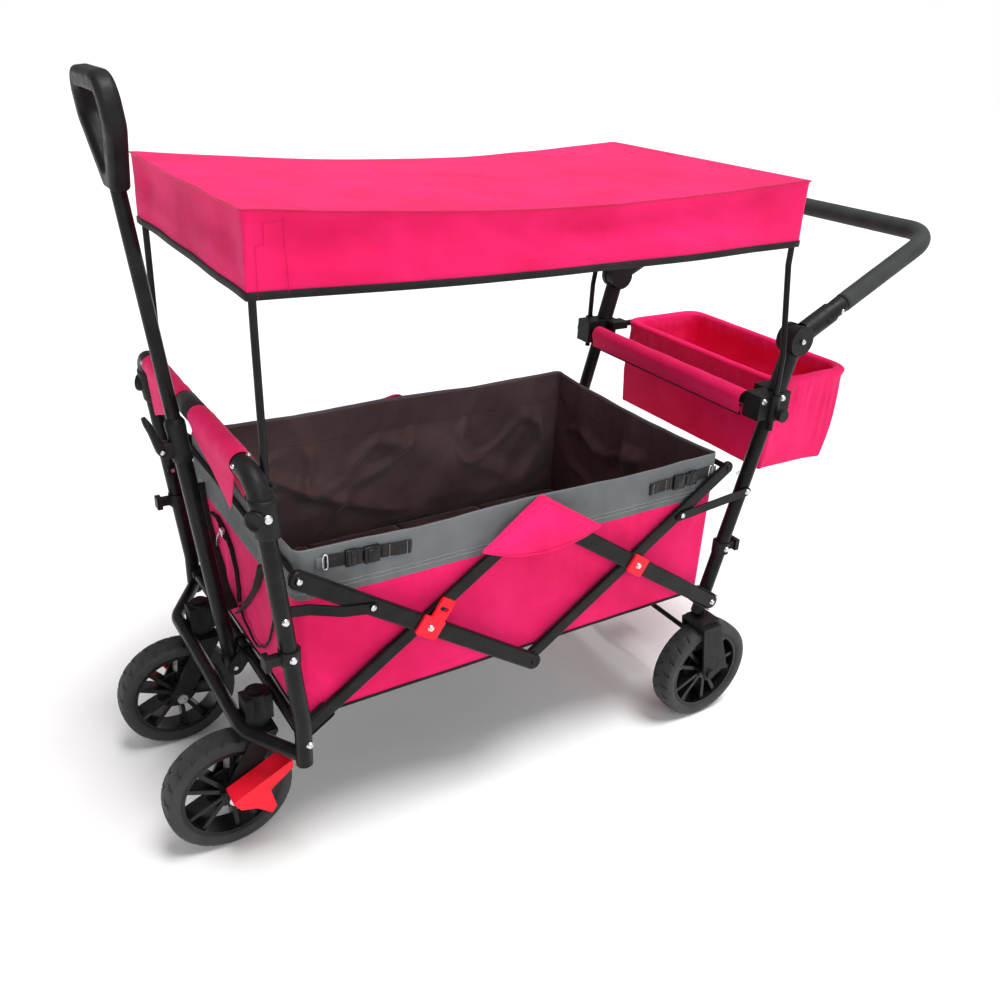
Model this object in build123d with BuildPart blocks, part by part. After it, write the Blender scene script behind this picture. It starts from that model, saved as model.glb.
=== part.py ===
from build123d import *
import os
from math import cos, hypot, radians, sin, tan

# Folding pull wagon. Millimetres, +Z up, -X is the pulling end, +X the pushing end.
# The origin is on the ground, midway along and across the wagon.
os.makedirs("parts", exist_ok=True)

# ---- driving dimensions -------------------------------------------------------------
wheel_r = 100
wheel_w = 46
tyre_depth = 22
hub_r = 17
axle_r = 5
axle_head = 5
running_gap = 0.05

# scissor side frame
half_span = 396          # scissor centre to each lower pivot
pivot_z = 252
bar_tilt = 33.9          # degrees above level, open
inner_bar_w = 22
outer_bar_w = 28
inner_bar_t = 11
outer_bar_t = 12
bar_wall = 1.5
bar_round = 4
layer_gap = 1
pin_r = 3.5
rivet_r = 5.5
rivet_h = 2.4

# legs and cross tubes
leg_r = 12.5
tube_wall = 1.5
front_leg_foot_z = 213
front_leg_bend_z = 284
front_leg_top_z = 622
front_leg_set = 5        # the leg stands this far ahead of the lower pivot
front_leg_lean = 6.3     # degrees forward above the bend
rear_leg_foot_z = 217
rear_leg_lean = 14.1     # degrees backward
push_hinge_z = 732
cross_tube_r = 9
hoop_r = 11
hoop_z = 226
hoop_ahead = 64          # hoop's straight run ahead of the lower pivot
hoop_flat = 175          # half of the straight run
hoop_bend = 50
top_bar_z = 676
top_bar_back = 47        # top bar ahead of the front lower pivot
top_bar_r = 11
top_bar_bend = 36
knuckle_top_z = 652
knuckle_h = 55
knuckle_w = 38

# fabric bed
bed_half_w = 240
bed_bottom_z = 268
bed_rim_rise = 26.9      # rim above the upper pivots
bed_end_gap_front = 5.3
bed_end_gap_rear = 12
fabric_t = 3
bed_corner_r = 14
mat_t = 8
bar_clear = 5            # bed side to inner bars

# links from the legs to the upper bars
link_w = 16
link_t = 3
front_link_reach = 109   # along the bar from the crossing
front_link_z = 468.5
rear_link_reach = 115
rear_link_z = 463

# casters and rear wheels
swivel_ahead = 30
caster_y = 141
caster_trail = 55
stem_r = 6
housing_r = 17.5
fork_gap = 4
fork_t = 4
fork_crown_z = 202
crown_t = 5
rear_wheel_out = 12.1    # wheel outboard of the rear leg
rear_axle_back = 7       # rear axle behind the lower pivot

# pull handle
handle_pivot_ahead = 22
handle_pivot_z = 224
handle_lean = 6.8
lower_tube_len = 400
upper_tube_r = 10
upper_tube_start = 330
upper_tube_end = 775
collar_start = 380
collar_len = 62
collar_r = 17
grip_start = 762
grip_len = 142
grip_w = 165
grip_base_w = 42
grip_band = 25
grip_t = 26
bracket_t = 4

# push handle, crossbar, basket
push_len = 352
push_tilt = 26.3
push_tube_r = 12.5
push_grip_r = 16.5
push_grip_start = 118
push_bend = 48
hinge_r = 26
hinge_tongue_t = 16
crossbar_x = 59          # crossbar behind the rear lower pivot
crossbar_z = 622
crossbar_r = 10
crossbar_sleeve_r = 18
basket_front = 128       # basket front behind the rear lower pivot
basket_len = 202
basket_in = 25.9         # basket side inboard of the rear leg
basket_bottom_z = 466
basket_top_z = 648
basket_tube_r = 6
basket_tube_z = 638

# canopy
canopy_over = 9          # canopy side outboard of the bed
canopy_top_z = 994
canopy_drop = 108
canopy_front = 38        # canopy front ahead of the front lower pivot
canopy_rear = 84         # canopy rear behind the rear lower pivot
pole_r = 5
pole_socket_r = 9
pole_foot_drop = 62      # pole's hidden length below its socket
front_pole_in = 23.5     # pole inboard of the front leg
rear_pole_out = 20.1     # pole outboard of the rear leg
socket_h = 40

# ---- derived places -----------------------------------------------------------------
bar_half = half_span / 2 / cos(radians(bar_tilt))
cross_z = pivot_z + bar_half * sin(radians(bar_tilt))
upper_z = pivot_z + 2 * bar_half * sin(radians(bar_tilt))

inner_y = bed_half_w + bar_clear
outer_y = inner_y + inner_bar_t + layer_gap
outer_face_y = outer_y + outer_bar_t
front_leg_y = outer_y + leg_r
front_leg_face_y = front_leg_y + leg_r
rear_leg_y = outer_y - 0.6 - leg_r
rear_leg_face_y = rear_leg_y + leg_r

rim_r = wheel_r - tyre_depth
bed_rim_z = upper_z + bed_rim_rise
rear_wheel_y = rear_leg_y + rear_wheel_out
basket_half_w = rear_leg_y - basket_in
canopy_half_w = bed_half_w + canopy_over
front_pole_y = front_leg_y - front_pole_in
rear_pole_y = rear_leg_y + rear_pole_out

push_hinge_back = (push_hinge_z - pivot_z) * tan(radians(rear_leg_lean))
front_reach = half_span + swivel_ahead + caster_trail + wheel_r
rear_reach = half_span + push_hinge_back + push_len * cos(radians(push_tilt)) + push_grip_r
mid_x = (front_reach - rear_reach) / 2

front_x = mid_x - half_span
rear_x = mid_x + half_span
front_cross = (mid_x - half_span / 2, cross_z)
rear_cross = (mid_x + half_span / 2, cross_z)
centre_low = (mid_x, pivot_z)
centre_top = (mid_x, upper_z)
front_low = (front_x, pivot_z)
rear_low = (rear_x, pivot_z)
front_up = (front_x, upper_z)
rear_up = (rear_x, upper_z)


def front_leg_x(z):
    """X of the front leg's axis at a height."""
    rise = max(0, z - front_leg_bend_z)
    return front_x - front_leg_set - rise * tan(radians(front_leg_lean))


def rear_leg_x(z):
    """X of the rear leg's axis at a height."""
    return rear_x + (z - pivot_z) * tan(radians(rear_leg_lean))


def toward(start, end, distance):
    """The point a distance along the line from start to end, in XZ."""
    share = distance / hypot(end[0] - start[0], end[1] - start[1])
    return (start[0] + share * (end[0] - start[0]), start[1] + share * (end[1] - start[1]))


front_link_bar = toward(front_cross, front_up, front_link_reach)
rear_link_bar = toward(rear_cross, rear_up, rear_link_reach)
front_link_leg = (front_leg_x(front_link_z), front_link_z)
rear_link_leg = (rear_leg_x(rear_link_z), rear_link_z)
push_hinge = (rear_leg_x(push_hinge_z), push_hinge_z)


# ---- shared shapes ------------------------------------------------------------------
def rod(start, end, radius, bore=0, mode=Mode.ADD):
    """A straight round bar or tube between two points."""
    axis = Vector(*end) - Vector(*start)
    with BuildSketch(Plane(origin=start, z_dir=axis)) as section:
        Circle(radius)
        if bore:
            Circle(bore, mode=Mode.SUBTRACT)
    extrude(section.sketch, amount=axis.length, mode=mode)


def pin(at, y_start, y_end, radius, mode=Mode.ADD):
    """A pin along Y at an XZ place."""
    rod((at[0], y_start, at[1]), (at[0], y_end, at[1]), radius, mode=mode)


def bent_tube(points, radius, bore, bend, mode=Mode.ADD):
    """A round tube along straight runs joined by bends."""
    with BuildLine() as path:
        FilletPolyline(*points, radius=bend)
    line = path.line
    with BuildSketch(Plane(origin=line @ 0, z_dir=line % 0)) as section:
        Circle(radius)
        if bore:
            Circle(bore, mode=Mode.SUBTRACT)
    sweep(section.sketch, path=line, mode=mode)


def rivet(at, y, side, radius=None):
    """A domed rivet head that stands on the face at a distance y from the middle."""
    head = radius or rivet_r
    with BuildSketch(Plane(origin=(at[0], side * y, at[1]), x_dir=(1, 0, 0), z_dir=(0, side, 0))) as disc:
        Circle(head)
    extrude(disc.sketch, amount=rivet_h, taper=35)


def side_plane(start, end, y, side):
    """A plane on the wagon's side, x along the line from start to end, z outward."""
    middle = ((start[0] + end[0]) / 2, side * y, (start[1] + end[1]) / 2)
    return Plane(origin=middle, x_dir=(end[0] - start[0], 0, end[1] - start[1]), z_dir=(0, side, 0))


def flat_bar(start, end, y, width, thick, side, holes):
    """A flattened tube between two pivots, with a hole for each pin."""
    length = hypot(end[0] - start[0], end[1] - start[1])
    with BuildSketch(side_plane(start, end, y, side)) as outline:
        SlotCenterToCenter(length, width)
    extrude(outline.sketch, amount=thick)
    fillet(edges(Select.LAST).filter_by(GeomType.LINE).filter_by(Axis.Y, reverse=True), bar_round)
    with BuildSketch(side_plane(start, end, y + bar_wall, side)) as cavity:
        Rectangle(length - width, width - 2 * bar_wall - bar_round)
    extrude(cavity.sketch, amount=thick - 2 * bar_wall, mode=Mode.SUBTRACT)
    for hole, radius in holes:
        pin(hole, side * (y - 1), side * (y + thick + 1), radius, Mode.SUBTRACT)


def end_cap(pivot, other, y, width, thick, side):
    """The plastic cap over a bar's lower end: a thin cover on the bar's two flat faces' edges."""
    reach = 46
    wall = 2
    tail = toward(pivot, other, reach)
    with BuildSketch(side_plane(pivot, tail, y, side)) as outline:
        SlotCenterToCenter(reach, width + 2 * wall)
        SlotCenterToCenter(reach + width, width + 0.4, mode=Mode.SUBTRACT)
    extrude(outline.sketch, amount=thick)


def box_at(low, high, mode=Mode.ADD):
    """A box between two corners."""
    size = [b - a for a, b in zip(low, high)]
    with Locations(tuple((a + b) / 2 for a, b in zip(low, high))):
        Box(*size, mode=mode)


def save(piece, name):
    """Label a finished node and write it."""
    piece.part.label = name
    export_step(piece.part, f"parts/{name}.step")


SIDES = ((-1, "right"), (1, "left"))
pin_hole = pin_r + running_gap
open_hole = pin_r + 0.3

# ---- front frame --------------------------------------------------------------------
with BuildPart() as front_legs:
    for side, _ in SIDES:
        bent_tube(
            [
                (front_leg_x(0), side * front_leg_y, front_leg_foot_z),
                (front_leg_x(0), side * front_leg_y, front_leg_bend_z),
                (front_leg_x(front_leg_top_z), side * front_leg_y, front_leg_top_z),
            ],
            leg_r, leg_r - tube_wall, 80,
        )
        for hole in (front_low, front_link_leg):
            pin(hole, side * (outer_y - 1), side * (front_leg_face_y + 1), pin_hole, Mode.SUBTRACT)
save(front_legs, "front_legs")

hoop_x = front_x - hoop_ahead
with BuildPart() as front_hoop:
    end = (front_leg_x(0), front_leg_y, hoop_z)
    bent_tube(
        [
            (end[0], -end[1], end[2]),
            (hoop_x, -hoop_flat, hoop_z),
            (hoop_x, hoop_flat, hoop_z),
            end,
        ],
        hoop_r, hoop_r - tube_wall, hoop_bend,
    )
    for side, _ in SIDES:
        foot = (end[0], side * end[1])
        rod((*foot, front_leg_foot_z - 20), (*foot, front_leg_bend_z), leg_r + 0.05, mode=Mode.SUBTRACT)
save(front_hoop, "front_hoop")

with BuildPart() as front_cross_tube:
    half = inner_y - 0.4
    rod((front_x, -half, pivot_z), (front_x, half, pivot_z), cross_tube_r, pin_hole)
save(front_cross_tube, "front_cross_tube")

swivel_x = front_x - swivel_ahead
housing_top = pivot_z + cross_tube_r + 5
with BuildPart() as caster_housings:
    for side, _ in SIDES:
        y = side * caster_y
        rod((swivel_x, y, fork_crown_z + crown_t + 1), (swivel_x, y, housing_top), housing_r)
        box_at(
            (hoop_x + hoop_r, y - 15, hoop_z - 8),
            (front_x - cross_tube_r, y + 15, pivot_z + cross_tube_r),
        )
        rod((swivel_x, y, 0), (swivel_x, y, housing_top + 1), stem_r + running_gap, mode=Mode.SUBTRACT)
save(caster_housings, "caster_housings")

knuckle_x = front_leg_x(knuckle_top_z - knuckle_h / 2)
top_bar_x = front_x - top_bar_back
arch_end_z = front_leg_top_z + 4
arch_end_x = front_leg_x(arch_end_z)
arch_points = [
    (arch_end_x, -front_leg_y, arch_end_z),
    (top_bar_x, -front_leg_y, top_bar_z),
    (top_bar_x, front_leg_y, top_bar_z),
    (arch_end_x, front_leg_y, arch_end_z),
]
with BuildPart() as front_top_bar:
    bent_tube(arch_points, top_bar_r, top_bar_r - tube_wall, top_bar_bend)
save(front_top_bar, "front_top_bar")

front_pole_x = front_x - canopy_front + fabric_t + pole_r + 1
socket_gap = 0.3
with BuildPart() as front_knuckles:
    for side, _ in SIDES:
        low = (knuckle_x - knuckle_w / 2, front_leg_y - 16, knuckle_top_z - knuckle_h)
        high = (knuckle_x + knuckle_w / 2, front_leg_y + 19, knuckle_top_z)
        if side < 0:
            low, high = (low[0], -high[1], low[2]), (high[0], -low[1], high[2])
        box_at(low, high)
        fillet(edges(Select.LAST), 7)
        foot = (front_pole_x, side * front_pole_y, knuckle_top_z - socket_h)
        rod(foot, (front_pole_x, side * front_pole_y, knuckle_top_z - 5), pole_socket_r)
        rod(
            (front_pole_x, side * front_pole_y, 0),
            (front_pole_x, side * front_pole_y, knuckle_top_z + 1),
            pole_r + socket_gap, mode=Mode.SUBTRACT,
        )
        rod(
            (front_leg_x(knuckle_top_z - knuckle_h - 9), side * front_leg_y, knuckle_top_z - knuckle_h - 9),
            (front_leg_x(front_leg_top_z), side * front_leg_y, front_leg_top_z),
            leg_r + 0.1, mode=Mode.SUBTRACT,
        )
    bent_tube(arch_points, top_bar_r + 0.1, 0, top_bar_bend, Mode.SUBTRACT)
save(front_knuckles, "front_knuckles")

sleeve_in = 32
sleeve_out = 214
sleeve_r = 19
flap_drop = 58
with BuildPart() as front_bar_sleeves:
    for side, _ in SIDES:
        y_in, y_out = side * sleeve_in, side * sleeve_out
        flap_origin = (top_bar_x + top_bar_r + 4, 0, top_bar_z)
        with BuildSketch(Plane(origin=flap_origin, x_dir=(0, 1, 0), z_dir=(1, 0, 0))) as flap:
            Polygon(
                (y_in, 0), (y_out, 0), (y_out, -flap_drop * 0.45),
                ((y_in + y_out) / 2, -flap_drop), (y_in, -flap_drop * 0.55), align=None,
            )
        extrude(flap.sketch, amount=fabric_t)
        rod((top_bar_x, y_in, top_bar_z), (top_bar_x, y_out, top_bar_z), sleeve_r)
        rod((top_bar_x, y_in, top_bar_z), (top_bar_x, y_out, top_bar_z), top_bar_r + 0.3, mode=Mode.SUBTRACT)
save(front_bar_sleeves, "front_bar_sleeves")

strap_half_w = 18
with BuildPart() as top_bar_strap:
    rod(
        (top_bar_x, -strap_half_w, top_bar_z), (top_bar_x, strap_half_w, top_bar_z),
        top_bar_r + 2.3, top_bar_r + 0.3,
    )
save(top_bar_strap, "top_bar_strap")

handle_foot = (front_x - handle_pivot_ahead, handle_pivot_z)
ear_in = leg_r + 1
with BuildPart() as handle_bracket:
    for side, _ in SIDES:
        with BuildSketch(side_plane(handle_foot, front_low, ear_in, side)) as ear:
            reach = hypot(front_x - handle_foot[0], pivot_z - handle_pivot_z)
            SlotCenterToCenter(reach, 2 * cross_tube_r + 8)
        extrude(ear.sketch, amount=bracket_t)
    pin(front_low, -40, 40, cross_tube_r + 0.1, Mode.SUBTRACT)
    pin(handle_foot, -40, 40, pin_hole, Mode.SUBTRACT)
save(handle_bracket, "handle_bracket")


def leg_clip(x, y, z, toward_x):
    """A snap clip: a collar round the leg with a hooked finger."""
    collar = leg_r + 3
    rod((x, y, z - 11), (x, y, z + 11), collar)
    reach = toward_x * (collar + 22)
    low_x, high_x = sorted((x, x + reach))
    box_at((low_x, y - 6, z - 8), (high_x, y + 6, z + 6))
    hook_low, hook_high = sorted((x + reach, x + reach - toward_x * 9))
    box_at((hook_low, y - 10, z - 12), (hook_high, y + 10, z + 9))


front_clip_z = 407
rear_clip_z = 352
with BuildPart() as front_clips:
    for side, _ in SIDES:
        leg_clip(front_leg_x(front_clip_z), side * front_leg_y, front_clip_z, -1)
        rod(
            (front_leg_x(front_clip_z - 30), side * front_leg_y, front_clip_z - 30),
            (front_leg_x(front_clip_z + 30), side * front_leg_y, front_clip_z + 30),
            leg_r + 0.1, mode=Mode.SUBTRACT,
        )
save(front_clips, "front_clips")

with BuildPart() as front_rivets:
    pin(front_low, -front_leg_face_y, front_leg_face_y, pin_r)
    pin(handle_foot, -ear_in - bracket_t - 1, ear_in + bracket_t + 1, pin_r)
    for side, _ in SIDES:
        pin(front_link_leg, side * (outer_y - link_t - 1), side * front_leg_face_y, pin_r)
        for place in (front_low, front_link_leg):
            rivet(place, front_leg_face_y, side)
        rivet((front_leg_x(front_clip_z), front_clip_z), front_leg_face_y + 3, side)
        rivet((knuckle_x, knuckle_top_z - knuckle_h * 0.42), front_leg_y + 19, side, rivet_r + 1)
save(front_rivets, "front_rivets")


# ---- wheels -------------------------------------------------------------------------
def tyre(x, y):
    """A rubber tyre about an axle along Y."""
    half = wheel_w / 2
    shoulder = 9
    with BuildSketch(Plane(origin=(x, y, wheel_r), x_dir=(0, 1, 0), z_dir=(-1, 0, 0))) as profile:
        with BuildLine():
            Polyline(
                (-half + 4, rim_r), (-half, rim_r + 5), (-half, wheel_r - shoulder),
                (-half + shoulder * 0.8, wheel_r - 1.5), (-half + shoulder * 1.5, wheel_r),
                (half - shoulder * 1.5, wheel_r), (half - shoulder * 0.8, wheel_r - 1.5),
                (half, wheel_r - shoulder), (half, rim_r + 5), (half - 4, rim_r), close=True,
            )
        make_face()
    revolve(profile.sketch, axis=Axis((x, y, wheel_r), (0, 1, 0)))


def rim(x, y):
    """A five-spoke plastic rim with paired ribs."""
    half = wheel_w / 2 - 4
    barrel = 6
    flat = Plane(origin=(x, y - half, wheel_r), x_dir=(1, 0, 0), z_dir=(0, 1, 0))
    with BuildSketch(flat) as rings:
        Circle(rim_r - 0.2)
        Circle(rim_r - barrel, mode=Mode.SUBTRACT)
        Circle(hub_r)
    extrude(rings.sketch, amount=2 * half)
    spoke_in = hub_r - 3
    spoke_out = rim_r - barrel / 2
    with BuildSketch(flat.offset(4)) as spokes:
        for turn in range(5):
            for rib in (-1, 1):
                with Locations(Location((0, 0, 0), turn * 72 + rib * 13)):
                    with Locations(((spoke_in + spoke_out) / 2, 0)):
                        Rectangle(spoke_out - spoke_in, 7)
    extrude(spokes.sketch, amount=2 * half - 8)
    with BuildSketch(flat.offset(half - 2)) as web:
        Circle(rim_r * 0.46)
    extrude(web.sketch, amount=4)
    rod((x, y - 40, wheel_r), (x, y + 40, wheel_r), axle_r + running_gap, mode=Mode.SUBTRACT)


def fork(x_top, x_axle, y, lean_to, stem_top):
    """A fork: crown plate, two side plates and the axle's holes."""
    inner = wheel_w / 2 + fork_gap
    outer = inner + fork_t
    crown_half = 21
    box_at(
        (x_top - crown_half, y - outer, fork_crown_z),
        (x_top + crown_half, y + outer, fork_crown_z + crown_t),
    )
    for offset in (-outer, inner):
        with BuildSketch(Plane(origin=(0, y + offset, 0), x_dir=(1, 0, 0), z_dir=(0, -1, 0))) as cheek:
            with BuildLine():
                Polyline(
                    (x_top - crown_half, fork_crown_z), (x_top + crown_half, fork_crown_z),
                    (x_axle + lean_to, wheel_r + 8), (x_axle + 9, wheel_r - 13),
                    (x_axle - 9, wheel_r - 13), (x_axle - 17, wheel_r + 8), close=True,
                )
            make_face()
        extrude(cheek.sketch, amount=-fork_t)
    if stem_top:
        rod((x_top, y, fork_crown_z + crown_t), (x_top, y, stem_top), stem_r)
        rod((x_top, y, stem_top), (x_top, y, stem_top + 5), stem_r + 5)
    rod((x_axle, y - 60, wheel_r), (x_axle, y + 60, wheel_r), axle_r + running_gap, mode=Mode.SUBTRACT)


def axle(x, y):
    """An axle bolt with a head and a nut."""
    reach = wheel_w / 2 + fork_gap + fork_t
    rod((x, y - reach, wheel_r), (x, y + reach, wheel_r), axle_r)
    for side, _ in SIDES:
        rod((x, y + side * reach, wheel_r), (x, y + side * (reach + axle_head), wheel_r), axle_r + 4)


front_axle_x = swivel_x - caster_trail
rear_axle_x = rear_x + rear_axle_back
brake_pivot = (swivel_x - 11, 142)
brake_in = wheel_w / 2 + fork_gap + fork_t + axle_head + 0.5
brake_w = 36
for side, hand in SIDES:
    y = side * caster_y
    with BuildPart() as caster_fork:
        fork(swivel_x, front_axle_x, y, 20, housing_top)
        pin(brake_pivot, y + side * (brake_in - axle_head - 4), y + side * (brake_in + 6), pin_r)
    save(caster_fork, f"{hand}_caster_fork")
    with BuildPart() as caster_axle:
        axle(front_axle_x, y)
    save(caster_axle, f"{hand}_caster_axle")
    with BuildPart() as caster_tyre:
        tyre(front_axle_x, y)
    save(caster_tyre, f"{hand}_caster_tyre")
    with BuildPart() as caster_rim:
        rim(front_axle_x, y)
    save(caster_rim, f"{hand}_caster_rim")
    with BuildPart() as caster_brake:
        inner_face = (brake_pivot[0], y + side * brake_in, brake_pivot[1])
        base = Plane(origin=inner_face, x_dir=(1, 0, 0), z_dir=(0, -1, 0))
        outline = [(38, 33), (38, 18), (1, -11), (9, -46), (1, -56), (-22, -37), (-46, -30), (-58, -12)]
        with BuildSketch(base) as shell:
            Polygon(*outline, align=None)
        extrude(shell.sketch, amount=-side * brake_w)
        fillet(edges(Select.LAST).filter_by(Axis.Y), 2.5)
        with BuildSketch(base) as hollow:
            Polygon(*outline, align=None)
            offset(amount=-3, kind=Kind.INTERSECTION, mode=Mode.REPLACE)
        extrude(hollow.sketch, amount=-side * (brake_w - 3), mode=Mode.SUBTRACT)
        pin(brake_pivot, y + side * brake_in, y + side * (brake_in + 9), pin_r + 4)
        pin(brake_pivot, y + side * (brake_in - 1), y + side * (brake_in + 7), pin_hole, Mode.SUBTRACT)
    save(caster_brake, f"{hand}_caster_brake")
    with BuildPart() as rear_tyre:
        tyre(rear_axle_x, side * rear_wheel_y)
    save(rear_tyre, f"{hand}_rear_tyre")
    with BuildPart() as rear_rim:
        rim(rear_axle_x, side * rear_wheel_y)
    save(rear_rim, f"{hand}_rear_rim")

brake_shaft = (rear_axle_x + 25, wheel_r + 34)
brake_shaft_r = 5
with BuildPart() as rear_forks:
    for side, _ in SIDES:
        y = side * rear_wheel_y
        fork(rear_leg_x(rear_leg_foot_z) + 4, rear_axle_x, y, 42, 0)
        foot = (rear_leg_x(rear_leg_foot_z) + 4, y, fork_crown_z + crown_t)
        box_at((foot[0] - 21, y - 22, foot[2]), (foot[0] + 21, y + 22, rear_leg_foot_z - 0.3))
        axle(rear_axle_x, y)
    pin(brake_shaft, -rear_wheel_y, rear_wheel_y, brake_shaft_r + running_gap, Mode.SUBTRACT)
save(rear_forks, "rear_forks")

shaft_end = rear_wheel_y - wheel_w / 2 - fork_gap
with BuildPart() as foot_brake_shaft:
    pin(brake_shaft, -shaft_end, shaft_end, brake_shaft_r)
save(foot_brake_shaft, "foot_brake_shaft")
shoe_in = 26
with BuildPart() as brake_shoes:
    for side, _ in SIDES:
        y_low, y_high = sorted((side * (shaft_end - fork_t - shoe_in), side * (shaft_end - fork_t - 1)))
        box_at(
            (brake_shaft[0] - 14, y_low, brake_shaft[1] - 22),
            (brake_shaft[0] + 14, y_high, brake_shaft[1] + 12),
        )
        fillet(edges(Select.LAST), 4)
    box_at((brake_shaft[0] - 10, -30, brake_shaft[1] - 14), (brake_shaft[0] + 58, 30, brake_shaft[1] + 10))
    fillet(edges(Select.LAST), 5)
    pin(brake_shaft, -shaft_end, shaft_end, brake_shaft_r + 0.02, Mode.SUBTRACT)
save(brake_shoes, "foot_brake_shoes")

# ---- scissor bars -------------------------------------------------------------------
rod_r = 5
rod_hole = rod_r + running_gap
with BuildPart() as lower_front_bars:
    for side, _ in SIDES:
        flat_bar(front_low, centre_top, inner_y, inner_bar_w, inner_bar_t, side,
                 [(front_low, pin_hole), (front_cross, pin_hole), (centre_top, pin_hole)])
        end_cap(front_low, centre_top, inner_y, inner_bar_w, inner_bar_t, side)
        for place in (front_cross, centre_top):
            pin(place, side * (inner_y - 1), side * (outer_face_y + 5), pin_r)
        rivet(front_cross, outer_face_y + 5, side)
        rivet(centre_top, outer_face_y + 5, side)
save(lower_front_bars, "lower_front_bars")

with BuildPart() as upper_front_bars:
    for side, _ in SIDES:
        flat_bar(front_up, centre_low, outer_y, outer_bar_w, outer_bar_t, side,
                 [(front_up, rod_hole), (front_cross, pin_hole), (centre_low, rod_hole)])
save(upper_front_bars, "upper_front_bars")

with BuildPart() as upper_front_rods:
    for place in (front_up, centre_low):
        pin(place, -outer_face_y, outer_face_y, rod_r)
        for side, _ in SIDES:
            rivet(place, outer_face_y, side, rod_r + 1.5)
save(upper_front_rods, "upper_front_rods")

with BuildPart() as upper_rear_bars:
    for side, _ in SIDES:
        flat_bar(rear_up, centre_low, inner_y, inner_bar_w, inner_bar_t, side,
                 [(rear_up, rod_hole), (rear_cross, pin_hole), (centre_low, rod_hole)])
        pin(rear_cross, side * (inner_y - 1), side * (outer_face_y + 5), pin_r)
        rivet(rear_cross, outer_face_y + 5, side)
        rivet(rear_up, inner_y + inner_bar_t, side, rod_r + 1.5)
    pin(rear_up, -inner_y - inner_bar_t, inner_y + inner_bar_t, rod_r)
save(upper_rear_bars, "upper_rear_bars")

with BuildPart() as lower_rear_bars:
    for side, _ in SIDES:
        flat_bar(rear_low, centre_top, outer_y, outer_bar_w, outer_bar_t, side,
                 [(rear_low, pin_hole), (rear_cross, pin_hole), (centre_top, open_hole)])
        end_cap(rear_low, centre_top, outer_y, outer_bar_w, outer_bar_t, side)
save(lower_rear_bars, "lower_rear_bars")


def crossing_plate(cross, bar_end, length, tab, side):
    """A plate on the outer bar at a crossing, with an optional slotted tab above it."""
    plate = side_plane(toward(cross, bar_end, -1), toward(cross, bar_end, 1), outer_face_y + 0.3, side)
    up = 1 if plate.y_dir.Z > 0 else -1
    with BuildSketch(plate) as outline:
        RectangleRounded(length, outer_bar_w + 5, 3)
        if tab:
            with Locations((-4, up * (outer_bar_w / 2 + tab / 2))):
                RectangleRounded(25, tab + 6, 4)
            with Locations((-4, up * (outer_bar_w / 2 + tab / 2 + 3))):
                SlotOverall(16, 7, mode=Mode.SUBTRACT)
        Circle(open_hole, mode=Mode.SUBTRACT)
    extrude(outline.sketch, amount=4.4)


with BuildPart() as lock_plates:
    for side, _ in SIDES:
        crossing_plate(front_cross, front_up, 40, 34, side)
save(lock_plates, "lock_plates")

with BuildPart() as crossing_plates:
    for side, _ in SIDES:
        crossing_plate(rear_cross, rear_low, 36, 0, side)
save(crossing_plates, "crossing_plates")


def link(leg_end, bar_end, y_leg, y_bar, side):
    """A pressed strap with a long groove, stepped sideways between its two ends."""
    length = hypot(bar_end[0] - leg_end[0], bar_end[1] - leg_end[1])
    flat = side_plane(leg_end, bar_end, 0, side)
    step = y_bar - y_leg
    half = length / 2 + link_w
    along = Plane(origin=flat.origin, x_dir=flat.x_dir, z_dir=(flat.x_dir.Z, 0, -flat.x_dir.X))
    out = 1 if along.y_dir.Y * side > 0 else -1
    ramp = 22
    with BuildSketch(along) as strip:
        with BuildLine():
            Polyline(
                (-half, out * y_leg), (-ramp, out * y_leg), (ramp, out * y_bar), (half, out * y_bar),
                (half, out * (y_bar + link_t)), (ramp, out * (y_bar + link_t)),
                (-ramp, out * (y_leg + link_t)), (-half, out * (y_leg + link_t)), close=True,
            )
        make_face()
    with BuildSketch(flat) as outline:
        SlotCenterToCenter(length, link_w)
        with Locations((-length / 2, 0)):
            Circle(pin_hole, mode=Mode.SUBTRACT)
    body = extrude(strip.sketch, amount=link_w, both=True, mode=Mode.PRIVATE)
    blank = extrude(outline.sketch, amount=y_bar + y_leg, mode=Mode.PRIVATE)
    add(body & blank)
    rivet(bar_end, y_bar + link_t, side)


with BuildPart() as front_links:
    for side, _ in SIDES:
        link(front_link_leg, front_link_bar, outer_y - link_t - 0.3, outer_face_y + 0.3, side)
save(front_links, "front_links")

with BuildPart() as rear_links:
    for side, _ in SIDES:
        link(rear_link_leg, rear_link_bar, rear_leg_face_y + 0.3, rear_leg_face_y + 0.3, side)
save(rear_links, "rear_links")

# ---- rear frame ---------------------------------------------------------------------
rear_leg_top_z = push_hinge_z - 26
leg_start_z = rear_leg_foot_z + leg_r * sin(radians(rear_leg_lean))
with BuildPart() as rear_legs:
    for side, _ in SIDES:
        rod(
            (rear_leg_x(leg_start_z), side * rear_leg_y, leg_start_z),
            (rear_leg_x(rear_leg_top_z), side * rear_leg_y, rear_leg_top_z),
            leg_r, leg_r - tube_wall,
        )
        for hole in (rear_low, rear_link_leg):
            pin(hole, side * (rear_leg_y - 20), side * (rear_leg_face_y + 1), pin_hole, Mode.SUBTRACT)
save(rear_legs, "rear_legs")

with BuildPart() as rear_cross_tube:
    half = rear_leg_y - leg_r - 0.3
    rod((rear_x, -half, pivot_z), (rear_x, half, pivot_z), cross_tube_r, pin_hole)
save(rear_cross_tube, "rear_cross_tube")

bar_place = (rear_x + crossbar_x, crossbar_z)
clamp_in = rear_leg_y - leg_r - 7
with BuildPart() as rear_crossbar:
    pin(bar_place, -clamp_in - 12, clamp_in + 12, crossbar_r)
save(rear_crossbar, "rear_crossbar")

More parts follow.
